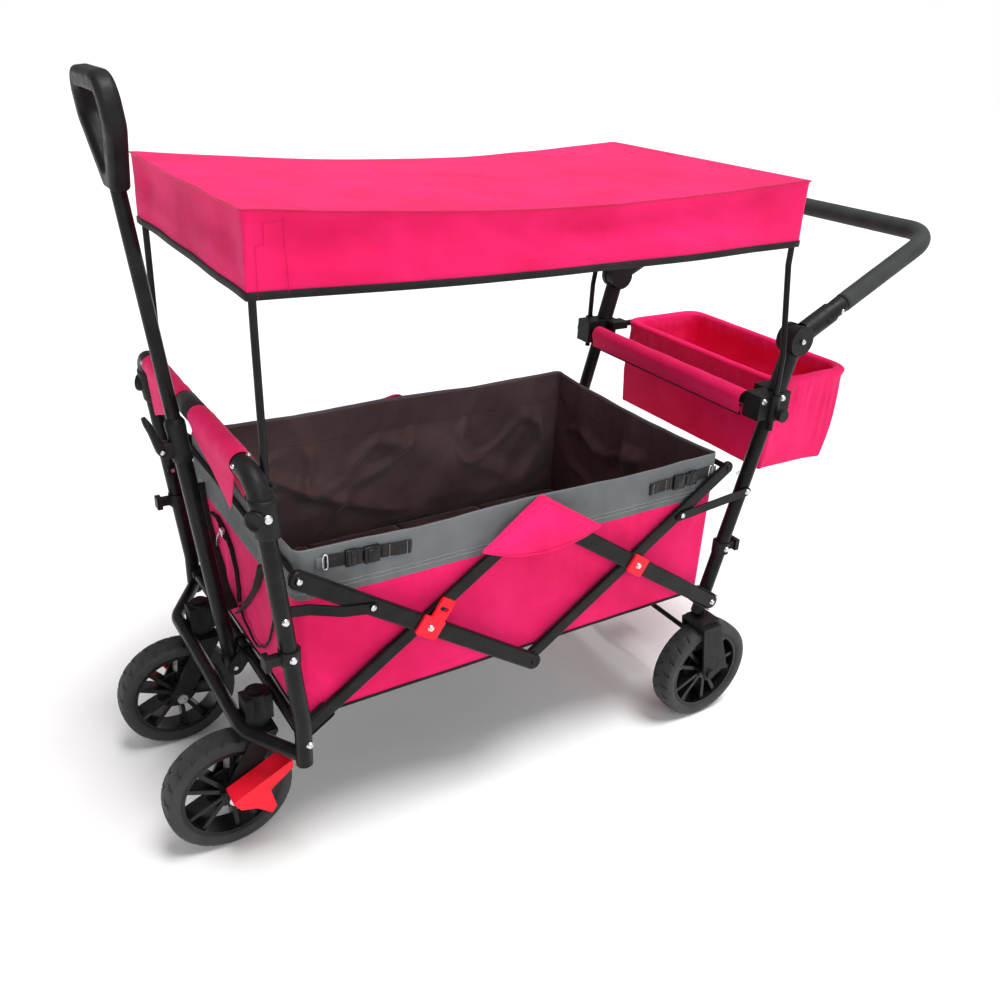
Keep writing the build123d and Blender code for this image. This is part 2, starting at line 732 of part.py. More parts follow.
with BuildPart() as crossbar_sleeve:
    wrap_origin = (bar_place[0], 0, bar_place[1])
    with BuildSketch(Plane(origin=wrap_origin, x_dir=(1, 0, 0), z_dir=(0, -1, 0))) as wrap:
        Circle(crossbar_sleeve_r)
        with Locations((0, -crossbar_sleeve_r)):
            Rectangle(6, 22)
        Circle(crossbar_r + 0.3, mode=Mode.SUBTRACT)
    extrude(wrap.sketch, amount=clamp_in - 12, both=True)
save(crossbar_sleeve, "crossbar_sleeve")

rear_pole_x = rear_x + canopy_rear - fabric_t - pole_r - 1
basket_x = rear_x + basket_front
arm_y = basket_half_w - fabric_t - basket_tube_r - 0.3
clamp_low_z = crossbar_z - 22
clamp_high_z = crossbar_z + 22
tongue_in = rear_leg_y - hinge_tongue_t / 2
with BuildPart() as rear_clamps:
    for side, _ in SIDES:
        corners = [
            (bar_place[0] - 16, clamp_in, clamp_low_z),
            (rear_leg_x(clamp_high_z) + leg_r + 5, rear_leg_face_y + 5, clamp_high_z),
            (bar_place[0] + 30, arm_y - 8, basket_tube_z - 9),
            (basket_x - 1, clamp_in + 4, basket_tube_z + 6),
        ]
        for low, high in (corners[:2], corners[2:]):
            y_low, y_high = sorted((side * low[1], side * high[1]))
            box_at((low[0], y_low, low[2]), (high[0], y_high, high[2]))
        pole_y = side * rear_pole_y
        rod((rear_pole_x, pole_y, clamp_low_z), (rear_pole_x, pole_y, clamp_high_z), pole_socket_r)
        rod(
            (rear_pole_x, pole_y, 0), (rear_pole_x, pole_y, canopy_top_z),
            pole_r + socket_gap, mode=Mode.SUBTRACT,
        )
        pin(push_hinge, side * tongue_in, side * (tongue_in + hinge_tongue_t), hinge_r - 2)
        rod(
            (rear_leg_x(clamp_high_z), side * rear_leg_y, clamp_high_z),
            (rear_leg_x(push_hinge_z - 20), side * rear_leg_y, push_hinge_z - 20),
            leg_r + 3.5,
        )
        rod(
            (rear_leg_x(clamp_low_z - 30), side * rear_leg_y, clamp_low_z - 30),
            (rear_leg_x(rear_leg_top_z), side * rear_leg_y, rear_leg_top_z),
            leg_r + 0.1, mode=Mode.SUBTRACT,
        )
        for y_cut in (side * (tongue_in - 20), side * (tongue_in + hinge_tongue_t)):
            pin(push_hinge, y_cut, y_cut + side * 20, hinge_r + 1, Mode.SUBTRACT)
    pin(bar_place, -clamp_in - 12.1, clamp_in + 12.1, crossbar_r + 0.1, Mode.SUBTRACT)
    pin(push_hinge, -300, 300, pin_hole + 1, Mode.SUBTRACT)
save(rear_clamps, "rear_clamps")

with BuildPart() as basket_frame:
    back_x = basket_x + basket_len - fabric_t - basket_tube_r - 0.3
    bent_tube(
        [(basket_x - 0.7, -arm_y, basket_tube_z), (back_x, -arm_y, basket_tube_z),
         (back_x, arm_y, basket_tube_z), (basket_x - 0.7, arm_y, basket_tube_z)],
        basket_tube_r, basket_tube_r - 1.2, 22,
    )
    stay_x = basket_x + fabric_t + basket_tube_r + 3
    half = arm_y - basket_tube_r - 0.1
    rod((stay_x, -half, basket_tube_z), (stay_x, half, basket_tube_z), basket_tube_r)
save(basket_frame, "basket_frame")

with BuildPart() as basket:
    box_at((basket_x, -basket_half_w, basket_bottom_z), (basket_x + basket_len, basket_half_w, basket_top_z))
    fillet(edges(Select.LAST).filter_by(Axis.Z), 20)
    inside = fabric_t
    box_at(
        (basket_x + inside, -basket_half_w + inside, basket_bottom_z + inside),
        (basket_x + basket_len - inside, basket_half_w - inside, basket_top_z + 1), Mode.SUBTRACT,
    )
    for side, _ in SIDES:
        rod(
            (basket_x - 9, side * arm_y, basket_tube_z), (basket_x + 9, side * arm_y, basket_tube_z),
            basket_tube_r + 0.3, mode=Mode.SUBTRACT,
        )
save(basket, "basket")

with BuildPart() as rear_clips:
    for side, _ in SIDES:
        leg_clip(rear_leg_x(rear_clip_z), side * rear_leg_y, rear_clip_z, 1)
        rod(
            (rear_leg_x(rear_clip_z - 30), side * rear_leg_y, rear_clip_z - 30),
            (rear_leg_x(rear_clip_z + 30), side * rear_leg_y, rear_clip_z + 30),
            leg_r + 0.1, mode=Mode.SUBTRACT,
        )
save(rear_clips, "rear_clips")

with BuildPart() as rear_rivets:
    pin(rear_low, -outer_face_y, outer_face_y, pin_r)
    for side, _ in SIDES:
        rivet(rear_low, outer_face_y, side)
        pin(rear_link_leg, side * (rear_leg_y - leg_r), side * (rear_leg_face_y + 0.3 + link_t + 0.3), pin_r)
        rivet(rear_link_leg, rear_leg_face_y + 0.6 + link_t, side)
        rivet((rear_leg_x(rear_clip_z), rear_clip_z), rear_leg_face_y + 3, side)
        for x in (bar_place[0] - 6, rear_leg_x(clamp_high_z - 10) + 2):
            rivet((x, clamp_high_z - 10), rear_leg_face_y + 5, side)
save(rear_rivets, "rear_rivets")

knob_z = crossbar_z - 8
with BuildPart() as pole_knobs:
    for side, _ in SIDES:
        y = side * (rear_pole_y + pole_socket_r + 0.3)
        rod((rear_pole_x, y, knob_z), (rear_pole_x, y + side * 7, knob_z), 4)
        rod((rear_pole_x, y + side * 7, knob_z), (rear_pole_x, y + side * 17, knob_z), 11)
save(pole_knobs, "pole_knobs")

# ---- push handle --------------------------------------------------------------------
reach_dir = (cos(radians(push_tilt)), sin(radians(push_tilt)))


def along_push(distance):
    """The XZ place at a distance from the push hinge along the arm."""
    return (push_hinge[0] + distance * reach_dir[0], push_hinge[1] + distance * reach_dir[1])


def push_path(start):
    """The U of the push handle, from a distance along one arm round to the other."""
    near, far = along_push(start), along_push(push_len)
    return [
        (near[0], -rear_leg_y, near[1]), (far[0], -rear_leg_y, far[1]),
        (far[0], rear_leg_y, far[1]), (near[0], rear_leg_y, near[1]),
    ]


with BuildPart() as push_handle_tube:
    bent_tube(push_path(44), push_tube_r, push_tube_r - tube_wall, push_bend)
save(push_handle_tube, "push_handle_tube")

with BuildPart() as push_grip:
    bent_tube(push_path(push_grip_start), push_grip_r, push_tube_r + 0.1, push_bend)
save(push_grip, "push_grip")

cover_in = tongue_in - 10
cover_out = tongue_in + hinge_tongue_t + 10
with BuildPart() as push_hinge_covers:
    for side, _ in SIDES:
        pin(push_hinge, side * cover_in, side * cover_out, hinge_r)
        near, far = along_push(12), along_push(86)
        arm_near, arm_far = (near[0], side * rear_leg_y, near[1]), (far[0], side * rear_leg_y, far[1])
        rod(arm_near, arm_far, cover_out - rear_leg_y)
        bore = along_push(43.5)
        past = along_push(96)
        rod(
            (bore[0], side * rear_leg_y, bore[1]), (past[0], side * rear_leg_y, past[1]),
            push_tube_r + 0.1, mode=Mode.SUBTRACT,
        )
        slot_in, slot_out = tongue_in - 0.4, tongue_in + hinge_tongue_t + 0.4
        pin(push_hinge, side * slot_in, side * slot_out, hinge_r + 3, Mode.SUBTRACT)
        pin(push_hinge, side * cover_in, side * cover_out, pin_r + 1)
        rivet(push_hinge, cover_out, side, rivet_r + 2)
        rivet(along_push(66), rear_leg_y + push_grip_r + 1, side)
save(push_hinge_covers, "push_hinge_covers")

# ---- pull handle --------------------------------------------------------------------
lean = (-sin(radians(handle_lean)), cos(radians(handle_lean)))


def on_handle(distance, y=0):
    """The place at a distance up the pull handle from its pivot."""
    return (handle_foot[0] + distance * lean[0], y, handle_foot[1] + distance * lean[1])


with BuildPart() as pull_tube_lower:
    rod(on_handle(-13), on_handle(lower_tube_len), leg_r, leg_r - tube_wall)
    pin(handle_foot, -20, 20, pin_hole, Mode.SUBTRACT)
save(pull_tube_lower, "pull_tube_lower")

with BuildPart() as pull_collar:
    rod(on_handle(collar_start), on_handle(collar_start + collar_len), collar_r)
    fillet(edges(Select.LAST), 3)
    box_at(
        (on_handle(collar_start + 8)[0] - collar_r - 7, -8, on_handle(collar_start + 8)[2]),
        (on_handle(collar_start + 8)[0] - collar_r + 8, 8, on_handle(collar_start + 34)[2]),
    )
    rod(on_handle(collar_start - 1), on_handle(lower_tube_len + 0.2), leg_r + 0.05, mode=Mode.SUBTRACT)
    collar_end = on_handle(collar_start + collar_len + 1)
    rod(on_handle(lower_tube_len), collar_end, upper_tube_r + running_gap, mode=Mode.SUBTRACT)
save(pull_collar, "pull_collar")

lever_pivot = (on_handle(collar_start + 18)[0] - collar_r - 10.7, on_handle(collar_start + 18)[2])
with BuildPart() as collar_lever:
    tip = (lever_pivot[0] - 17, lever_pivot[1] + 46)
    with BuildSketch(side_plane(lever_pivot, tip, -8, 1)) as paddle:
        SlotCenterToCenter(hypot(tip[0] - lever_pivot[0], tip[1] - lever_pivot[1]), 9)
    extrude(paddle.sketch, amount=16)
save(collar_lever, "collar_lever")

with BuildPart() as pull_tube_upper:
    rod(on_handle(upper_tube_start), on_handle(upper_tube_end), upper_tube_r, upper_tube_r - tube_wall)
save(pull_tube_upper, "pull_tube_upper")

grip_base = on_handle(grip_start)
grip_plane = Plane(origin=grip_base, x_dir=(0, 1, 0), z_dir=(lean[1], 0, -lean[0]))
with BuildPart() as pull_grip:
    shoulder_z = grip_len * 0.55
    outer_pts = [
        (-grip_base_w / 2, 0), (grip_base_w / 2, 0), (grip_w / 2, shoulder_z),
        (grip_w / 2, grip_len), (-grip_w / 2, grip_len), (-grip_w / 2, shoulder_z),
    ]
    with BuildSketch(grip_plane) as loop:
        Polygon(*outer_pts, align=None)
        fillet(vertices().group_by(Axis.Y)[1], 30)
        fillet(vertices().group_by(Axis.Y)[-1], 38)
    with BuildSketch(grip_plane) as hole:
        Polygon(*outer_pts, align=None)
        offset(amount=-grip_band, kind=Kind.INTERSECTION, mode=Mode.REPLACE)
        fillet(vertices(), 12)
    extrude(loop.sketch, amount=grip_t / 2, both=True)
    extrude(hole.sketch, amount=grip_t, both=True, mode=Mode.SUBTRACT)
    grip_faces = faces().filter_by(lambda f: abs(f.normal_at().dot(grip_plane.z_dir)) > 0.99)
    fillet(grip_faces.edges(), 8)
    rod(on_handle(grip_start - 1), on_handle(upper_tube_end), upper_tube_r + 0.1, mode=Mode.SUBTRACT)
save(pull_grip, "pull_grip")


# ---- canopy -------------------------------------------------------------------------
def canopy_hoop(x, foot_y, foot_z):
    """Two poles joined across the top, upright in their sockets and splayed to the canopy."""
    top_y = canopy_half_w - fabric_t - pole_r - 0.5
    top_z = canopy_top_z - fabric_t - pole_r - 0.5
    splay_z = knuckle_top_z + 60
    hem_z = canopy_top_z - canopy_drop - 25
    side_points = [(x, foot_y, foot_z), (x, foot_y, splay_z), (x, top_y, hem_z), (x, top_y, top_z)]
    mirrored = [(p[0], -p[1], p[2]) for p in reversed(side_points)]
    bent_tube(side_points + mirrored, pole_r, 0, 20)


with BuildPart() as canopy_front_hoop:
    canopy_hoop(front_pole_x, front_pole_y, knuckle_top_z - socket_h - 20)
save(canopy_front_hoop, "canopy_front_hoop")

with BuildPart() as canopy_rear_hoop:
    canopy_hoop(rear_pole_x, rear_pole_y, clamp_low_z - 20)
save(canopy_rear_hoop, "canopy_rear_hoop")

canopy_x0 = front_x - canopy_front
canopy_x1 = rear_x + canopy_rear
with BuildPart() as canopy:
    box_at((canopy_x0, -canopy_half_w, canopy_top_z - canopy_drop), (canopy_x1, canopy_half_w, canopy_top_z))
    fillet(edges(Select.LAST).filter_by(Axis.Z), 6)
    box_at(
        (canopy_x0 + fabric_t, -canopy_half_w + fabric_t, canopy_top_z - canopy_drop - 1),
        (canopy_x1 - fabric_t, canopy_half_w - fabric_t, canopy_top_z - fabric_t), Mode.SUBTRACT,
    )
save(canopy, "canopy")

# ---- bed ----------------------------------------------------------------------------
bed_x0 = front_x + bed_end_gap_front
bed_x1 = rear_x - bed_end_gap_rear
with BuildPart() as bed:
    box_at((bed_x0, -bed_half_w, bed_bottom_z), (bed_x1, bed_half_w, bed_rim_z))
    fillet(edges(Select.LAST).filter_by(Axis.Z), bed_corner_r)
    box_at(
        (bed_x0 + fabric_t, -bed_half_w + fabric_t, bed_bottom_z + fabric_t),
        (bed_x1 - fabric_t, bed_half_w - fabric_t, bed_rim_z + 1), Mode.SUBTRACT,
    )
save(bed, "bed")

mat_gap = 4
with BuildPart() as floor_mat:
    low_z = bed_bottom_z + fabric_t + 0.3
    box_at(
        (bed_x0 + fabric_t + mat_gap, -bed_half_w + fabric_t + mat_gap, low_z),
        (bed_x1 - fabric_t - mat_gap, bed_half_w - fabric_t - mat_gap, low_z + mat_t),
    )
    fillet(edges(Select.LAST), 2)
save(floor_mat, "floor_mat")
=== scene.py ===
import math

import bmesh
import bpy
import numpy as np
from mathutils import Matrix, Vector, noise


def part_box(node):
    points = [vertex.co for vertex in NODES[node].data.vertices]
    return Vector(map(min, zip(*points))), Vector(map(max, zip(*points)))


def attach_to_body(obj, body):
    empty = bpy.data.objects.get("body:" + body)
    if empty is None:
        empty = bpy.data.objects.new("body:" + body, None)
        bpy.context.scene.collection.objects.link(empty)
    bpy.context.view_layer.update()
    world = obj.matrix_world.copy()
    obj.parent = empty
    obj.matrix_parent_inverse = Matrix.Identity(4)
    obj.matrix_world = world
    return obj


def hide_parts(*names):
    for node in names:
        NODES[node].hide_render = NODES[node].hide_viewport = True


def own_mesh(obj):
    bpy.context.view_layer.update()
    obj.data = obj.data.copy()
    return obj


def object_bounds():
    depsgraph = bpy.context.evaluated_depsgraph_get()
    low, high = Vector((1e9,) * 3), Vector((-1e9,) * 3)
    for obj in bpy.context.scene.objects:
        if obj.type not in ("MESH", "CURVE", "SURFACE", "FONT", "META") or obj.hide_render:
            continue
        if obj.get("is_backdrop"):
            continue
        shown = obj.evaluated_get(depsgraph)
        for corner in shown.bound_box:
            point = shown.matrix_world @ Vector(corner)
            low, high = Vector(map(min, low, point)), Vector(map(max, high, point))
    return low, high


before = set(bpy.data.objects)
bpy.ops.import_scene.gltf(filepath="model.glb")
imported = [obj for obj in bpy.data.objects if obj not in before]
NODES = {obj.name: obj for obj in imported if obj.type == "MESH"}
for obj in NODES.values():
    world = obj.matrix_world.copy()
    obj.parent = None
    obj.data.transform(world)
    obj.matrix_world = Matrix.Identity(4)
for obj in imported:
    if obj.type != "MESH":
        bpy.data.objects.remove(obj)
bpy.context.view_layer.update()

MM = 0.001
TAU = 2 * math.pi
SIDES = ((-1, "right"), (1, "left"))
X_AXIS, Y_AXIS, Z_AXIS = Vector((1, 0, 0)), Vector((0, 1, 0)), Vector((0, 0, 1))
TO_FRONT = (-1, 0, 0)
scene = bpy.context.scene


# ---- materials ----------------------------------------------------------------------
class Look:
    """A procedural material under construction: a few shader nodes and the links between them."""

    def __init__(self, name):
        self.material = bpy.data.materials.new(name)
        self.material.use_nodes = True
        self.tree = self.material.node_tree
        self.shader = self.tree.nodes["Principled BSDF"]
        self.place = self.node("ShaderNodeTexCoord").outputs["Object"]
        self.height = None

    def node(self, kind, **settings):
        made = self.tree.nodes.new(kind)
        for key, value in settings.items():
            setattr(made, key, value)
        return made

    def join(self, source, target):
        if isinstance(source, (int, float)):
            target.default_value = source
        else:
            self.tree.links.new(source, target)

    def maths(self, operation, a, b=0.0):
        made = self.node("ShaderNodeMath", operation=operation)
        self.join(a, made.inputs[0])
        self.join(b, made.inputs[1])
        return made.outputs[0]

    def noise(self, scale, detail=3.0, roughness=0.55, stretch=None):
        made = self.node("ShaderNodeTexNoise")
        made.inputs["Scale"].default_value = scale
        made.inputs["Detail"].default_value = detail
        made.inputs["Roughness"].default_value = roughness
        place = self.place
        if stretch is not None:
            mapping = self.node("ShaderNodeMapping")
            mapping.inputs["Scale"].default_value = stretch
            self.join(place, mapping.inputs["Vector"])
            place = mapping.outputs["Vector"]
        self.join(place, made.inputs["Vector"])
        return made.outputs["Fac"]

    def wave(self, axis, pitch):
        """A fine wave along one axis, as the ribs across webbing."""
        split = self.node("ShaderNodeSeparateXYZ")
        self.join(self.place, split.inputs[0])
        return self.maths("SINE", self.maths("MULTIPLY", split.outputs[axis], TAU / pitch))

    def weave(self, pitch):
        """Threads over and under each other, on a face that looks along any axis."""
        waves = [self.wave(axis, pitch) for axis in range(3)]
        pairs = [self.maths("MULTIPLY", waves[i], waves[(i + 1) % 3]) for i in range(3)]
        return self.maths("ADD", self.maths("ADD", pairs[0], pairs[1]), pairs[2])

    def bump(self, height, distance, strength=1.0):
        made = self.node("ShaderNodeBump")
        made.inputs["Distance"].default_value = distance
        made.inputs["Strength"].default_value = strength
        self.join(height, made.inputs["Height"])
        if self.height is not None:
            self.join(self.height, made.inputs["Normal"])
        self.height = made.outputs["Normal"]
        self.join(self.height, self.shader.inputs["Normal"])

    def ramp(self, factor, low, high, to_low=0.0, to_high=1.0):
        """The factor's values from low to high, stretched over another range."""
        made = self.node("ShaderNodeMapRange")
        values = {"From Min": low, "From Max": high, "To Min": to_low, "To Max": to_high}
        for socket, value in values.items():
            made.inputs[socket].default_value = value
        self.join(factor, made.inputs["Value"])
        return made.outputs["Result"]

    def colour(self, dark, light, factor):
        """A colour that wanders between two shades."""
        mix = self.node("ShaderNodeMix", data_type="RGBA")
        mix.inputs["A"].default_value = (*dark, 1)
        mix.inputs["B"].default_value = (*light, 1)
        self.join(self.ramp(factor, 0.35, 0.65), mix.inputs["Factor"])
        self.join(mix.outputs["Result"], self.shader.inputs["Base Color"])

    def rough(self, low, high, factor):
        self.join(self.ramp(factor, 0.3, 0.7, low, high), self.shader.inputs["Roughness"])

    def fixed(self, **sockets):
        for key, value in sockets.items():
            self.shader.inputs[key.replace("_", " ")].default_value = value


def make_look(name, shades, shade_noise, rough, rough_noise, layers, **sockets):
    """A material of two shades and a range of roughness, with layers of relief given in millimetres."""
    look = Look(name)
    look.colour(*shades, look.noise(*shade_noise))
    look.rough(*rough, look.noise(*rough_noise))
    for layer, settings, distance, strength in layers:
        look.bump(layer(look, *settings), distance * MM, strength)
    look.fixed(**sockets)
    return look.material


def cloth_look(name, dark, light, sheen=0.25, rough=(0.62, 0.8), crumple=1.2, tint=(1, 1, 1)):
    """Woven polyester: a fine weave, soft creases, and shade that wanders a little."""
    return make_look(
        name, (dark, light), (7, 4), rough, (60, 3),
        (
            (Look.noise, (16, 3, 0.5), crumple, 0.5), (Look.noise, (420, 2), 0.12, 0.5),
            (Look.weave, (1.1 * MM,), 0.06, 0.6),
        ),
        Sheen_Weight=sheen, Sheen_Roughness=0.4, Sheen_Tint=(*tint, 1), Specular_IOR_Level=0.16, IOR=1.45,
    )


def plastic_look(name, dark, light, rough=(0.42, 0.58), grain=0.05, coat=0.0):
    """Moulded plastic with a fine spark-eroded grain and slight flow marks."""
    return make_look(
        name, (dark, light), (28, 4), rough, (90, 3),
        ((Look.noise, (900, 2), grain, 0.6), (Look.noise, (22, 2), 0.15, 0.4)),
        IOR=1.48, Specular_IOR_Level=0.2, Coat_Weight=coat, Coat_Roughness=0.25,
    )


def rubber_look(name, dark, light, rough=(0.6, 0.8)):
    return make_look(
        name, (dark, light), (35, 5), rough, (70, 3), ((Look.noise, (700, 3), 0.08, 0.6),),
        IOR=1.5, Specular_IOR_Level=0.35, Sheen_Weight=0.05,
    )


def webbing_look(name, axis):
    """Black webbing with its ribs across one axis."""
    return make_look(
        name, ((0.007, 0.0065, 0.0065), (0.016, 0.015, 0.015)), (120, 3), (0.55, 0.75), (80, 2),
        ((Look.wave, (axis, 1.6 * MM), 0.18, 0.7), (Look.noise, (900, 2), 0.08, 0.5)),
        Sheen_Weight=0.08, Specular_IOR_Level=0.3, IOR=1.45,
    )


PINK = cloth_look(
    "pink_polyester", (0.70, 0.007, 0.095), (0.84, 0.014, 0.14),
    sheen=0.24, rough=(0.7, 0.85), crumple=2.4, tint=(1.0, 0.36, 0.7),
)
PINK_TRIM = cloth_look("pink_seam", (0.50, 0.003, 0.05), (0.62, 0.006, 0.08), crumple=0.4)
BROWN = cloth_look(
    "brown_lining", (0.078, 0.056, 0.057), (0.125, 0.092, 0.093), sheen=0.2, rough=(0.4, 0.56), crumple=3.0,
)
GREY = cloth_look("grey_band", (0.115, 0.125, 0.132), (0.155, 0.168, 0.176), sheen=0.08, crumple=1.6)
BLACK_CLOTH = cloth_look(
    "black_binding", (0.009, 0.008, 0.0085), (0.02, 0.017, 0.018), sheen=0.1, crumple=0.3,
)
# black powder coat: orange peel, a soft gloss, and dust in the odd patch
STEEL = make_look(
    "black_powder_coat", ((0.0045, 0.0042, 0.0042), (0.010, 0.0092, 0.009)), (30, 4), (0.24, 0.40), (45, 4),
    ((Look.noise, (520, 2), 0.05, 0.5),),
    IOR=1.45, Specular_IOR_Level=0.17, Coat_Weight=0.03, Coat_Roughness=0.2,
)
PLASTIC = plastic_look("black_plastic", (0.0065, 0.0063, 0.0065), (0.013, 0.0125, 0.0125))
GLOSS = plastic_look(
    "gloss_black_plastic", (0.0055, 0.0055, 0.006), (0.011, 0.011, 0.0115), rough=(0.2, 0.34), coat=0.12,
)
RED = plastic_look("red_plastic", (0.80, 0.006, 0.022), (0.90, 0.012, 0.035), rough=(0.3, 0.42), grain=0.03)
# zinc-plated steel with fine turned scratches
SILVER = make_look(
    "bright_rivet", ((0.50, 0.50, 0.51), (0.72, 0.72, 0.73)), (200, 3), (0.22, 0.42), (300, 2),
    ((Look.noise, (1500, 2, 0.55, (1, 1, 6)), 0.03, 0.5),), Metallic=1.0,
)
RUBBER = rubber_look("tyre_rubber", (0.019, 0.0215, 0.0205), (0.031, 0.034, 0.032))
FOAM = rubber_look("grip_foam", (0.021, 0.026, 0.025), (0.033, 0.039, 0.037), rough=(0.7, 0.85))
WEB_X, WEB_Z = webbing_look("black_webbing_x", 0), webbing_look("black_webbing_z", 2)
THREAD = plastic_look("grey_thread", (0.30, 0.31, 0.32), (0.42, 0.43, 0.44), rough=(0.6, 0.8))
PINK_THREAD = plastic_look("pink_thread", (0.42, 0.003, 0.045), (0.55, 0.006, 0.07), rough=(0.6, 0.8))
DARK_THREAD = plastic_look("dark_thread", (0.02, 0.015, 0.016), (0.04, 0.03, 0.03), rough=(0.6, 0.8))


# ---- carried-over CAD nodes ---------------------------------------------------------
def loose_parts(mesh):
    """For each face, the number of the solid that it belongs to, and each solid's box."""
    co = np.array([v.co for v in mesh.vertices], float).reshape(-1, 3)
    _, same = np.unique(np.round(co, 6), axis=0, return_inverse=True)
    same = same.ravel()
    root = np.arange(same.max() + 1)

    def find(i):
        while root[i] != i:
            root[i] = root[root[i]]
            i = root[i]
        return i

    for face in mesh.polygons:
        first = find(same[face.vertices[0]])
        for v in face.vertices[1:]:
            root[find(same[v])] = first
    owner = np.array([find(same[face.vertices[0]]) for face in mesh.polygons])
    vertex_owner = np.array([find(i) for i in same])
    boxes = {o: (co[vertex_owner == o].min(0), co[vertex_owner == o].max(0)) for o in np.unique(owner)}
    return owner, boxes


def dress(names, material, small=None, small_size=15 * MM):
    """Give CAD nodes their material, with a second one on their small solids such as rivets."""
    for name in names.split():
        mesh = NODES[name].data
        mesh.materials.clear()
        mesh.materials.append(material)
        if small is None:
            continue
        mesh.materials.append(small)
        owner, boxes = loose_parts(mesh)
        rivets = {o for o, (low, high) in boxes.items() if (high - low)[[0, 2]].max() < small_size}
        for face, solid in zip(mesh.polygons, owner):
            face.material_index = int(solid in rivets)


dress(
    "front_legs front_hoop front_cross_tube front_top_bar pull_tube_lower pull_tube_upper rear_legs "
    "rear_cross_tube rear_crossbar basket_frame push_handle_tube canopy_front_hoop canopy_rear_hoop "
    "foot_brake_shaft upper_front_rods", STEEL,
)
dress(
    "lower_front_bars upper_front_bars upper_rear_bars lower_rear_bars front_links rear_links", STEEL, SILVER,
)
dress(
    "caster_housings front_knuckles handle_bracket front_clips pull_collar collar_lever rear_clamps "
    "rear_clips pole_knobs push_hinge_covers rear_forks", PLASTIC, SILVER,
)
dress("pull_grip left_caster_fork right_caster_fork", PLASTIC)
dress("lock_plates crossing_plates", RED, SILVER)
dress("foot_brake_shoes left_caster_brake right_caster_brake", RED)
dress("front_rivets rear_rivets left_caster_axle right_caster_axle", SILVER)
dress("left_caster_rim right_caster_rim left_rear_rim right_rear_rim", GLOSS)


# ---- shared mesh makers -------------------------------------------------------------
def mesh_piece(name, points, faces, materials, indices=None):
    mesh = bpy.data.meshes.new(name)
    mesh.from_pydata([tuple(p) for p in points], [], faces)
    for material in materials:
        mesh.materials.append(material)
    if indices is not None:
        mesh.polygons.foreach_set("material_index", indices)
    mesh.polygons.foreach_set("use_smooth", [True] * len(mesh.polygons))
    mesh.validate()
    obj = bpy.data.objects.new(name, mesh)
    scene.collection.objects.link(obj)
    return obj


def grid_faces(rows, columns, closed=False):
    """Quads of a grid whose points run along each row. A closed grid joins each row's ends."""
    faces = []
    span = columns if closed else columns - 1
    for i in range(rows - 1):
        for j in range(span):
            k = (j + 1) % columns
            faces.append((i * columns + j, i * columns + k, (i + 1) * columns + k, (i + 1) * columns + j))
    return faces


def end_caps(rows, columns):
    """The two faces that close a tube whose rows of points run round it."""
    return [tuple(reversed(range(columns))), tuple((rows - 1) * columns + j for j in range(columns))]


def strip(first, second):
    """Quads between two closed loops of point numbers."""
    turned = zip(first[1:] + first[:1], second[1:] + second[:1])
    return [(a, b, d, c) for a, c, (b, d) in zip(first, second, turned)]


def grid_border(rows, columns):
    """The point numbers round a grid, first along the start of every row."""
    out = [i * columns for i in range(rows)] + [(rows - 1) * columns + j for j in range(1, columns)]
    back = [i * columns + columns - 1 for i in range(rows - 2, -1, -1)]
    return out + back + list(range(columns - 2, 0, -1))


def attach(obj, body, replaces=None, fold=None):
    """Ride a piece on a body, with its own copy of its mesh when fold settings come with it, and hide the
    node it replaces.
    """
    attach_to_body(obj, body)
    if fold:
        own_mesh(obj)
    if replaces:
        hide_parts(replaces)
    return obj


def ring(x0, x1, y0, y1, r, nx, ny, nc=5):
    """Points round a rounded rectangle, anticlockwise from above, with outward directions."""
    places, outward = [], []
    corners = (
        ((x0 + r, y0 + r), (x1 - r, y0 + r), nx, -90), ((x1 - r, y0 + r), (x1 - r, y1 - r), ny, 0),
        ((x1 - r, y1 - r), (x0 + r, y1 - r), nx, 90), ((x0 + r, y1 - r), (x0 + r, y0 + r), ny, 180),
    )
    for (ax, ay), (bx, by), count, angle in corners:
        n = (math.cos(math.radians(angle)), math.sin(math.radians(angle)))
        for k in range(count):
            t = k / count
            places.append((ax + (bx - ax) * t + n[0] * r, ay + (by - ay) * t + n[1] * r))
            outward.append(n)
        for k in range(nc):
            a = math.radians(angle + 90 * k / nc)
            places.append((bx + math.cos(a) * r, by + math.sin(a) * r))
            outward.append((math.cos(a), math.sin(a)))
    return np.array(places), np.array(outward)


def ripple(p, scale, seed, stretch=(1, 1, 1)):
    """Smooth noise from -1 to 1 at a place."""
    q = Vector((p[0] * stretch[0], p[1] * stretch[1], p[2] * stretch[2])) * scale
    return noise.noise(q + Vector((seed * 7.3, seed * 3.1, seed * 5.7)))


def crease(p, scale, seed, stretch=(1, 1, 1)):
    """Sharp-crested folds, from 0 in the hollows to 1 on the crests."""
    return 1 - abs(ripple(p, scale, seed, stretch)) * 2.2


def crest(p, scale, seed, above, height, stretch=(1, 1, 1)):
    """Only the tops of sharp folds, up to a height in millimetres."""
    return max(0.0, crease(p, scale, seed, stretch) - above) * height * MM


def thicken(obj, thickness, subdivide=1, offset=-1):
    if thickness:
        solid = obj.modifiers.new("thickness", "SOLIDIFY")
        solid.thickness = thickness
        solid.offset = offset
    if subdivide:
        sub = obj.modifiers.new("smooth", "SUBSURF")
        sub.levels = sub.render_levels = subdivide
    return obj


def positions(mesh):
    co = np.empty(len(mesh.vertices) * 3)
    mesh.vertices.foreach_get("co", co)
    return co.reshape(-1, 3)


def normals(mesh):
    return np.array([v.normal[:] for v in mesh.vertices])


def place_points(obj, co):
    obj.data.vertices.foreach_set("co", np.asarray(co, np.float32).ravel())
    obj.data.update()


CLOTH_FRAMES = 16
SLIDE = 4 * MM


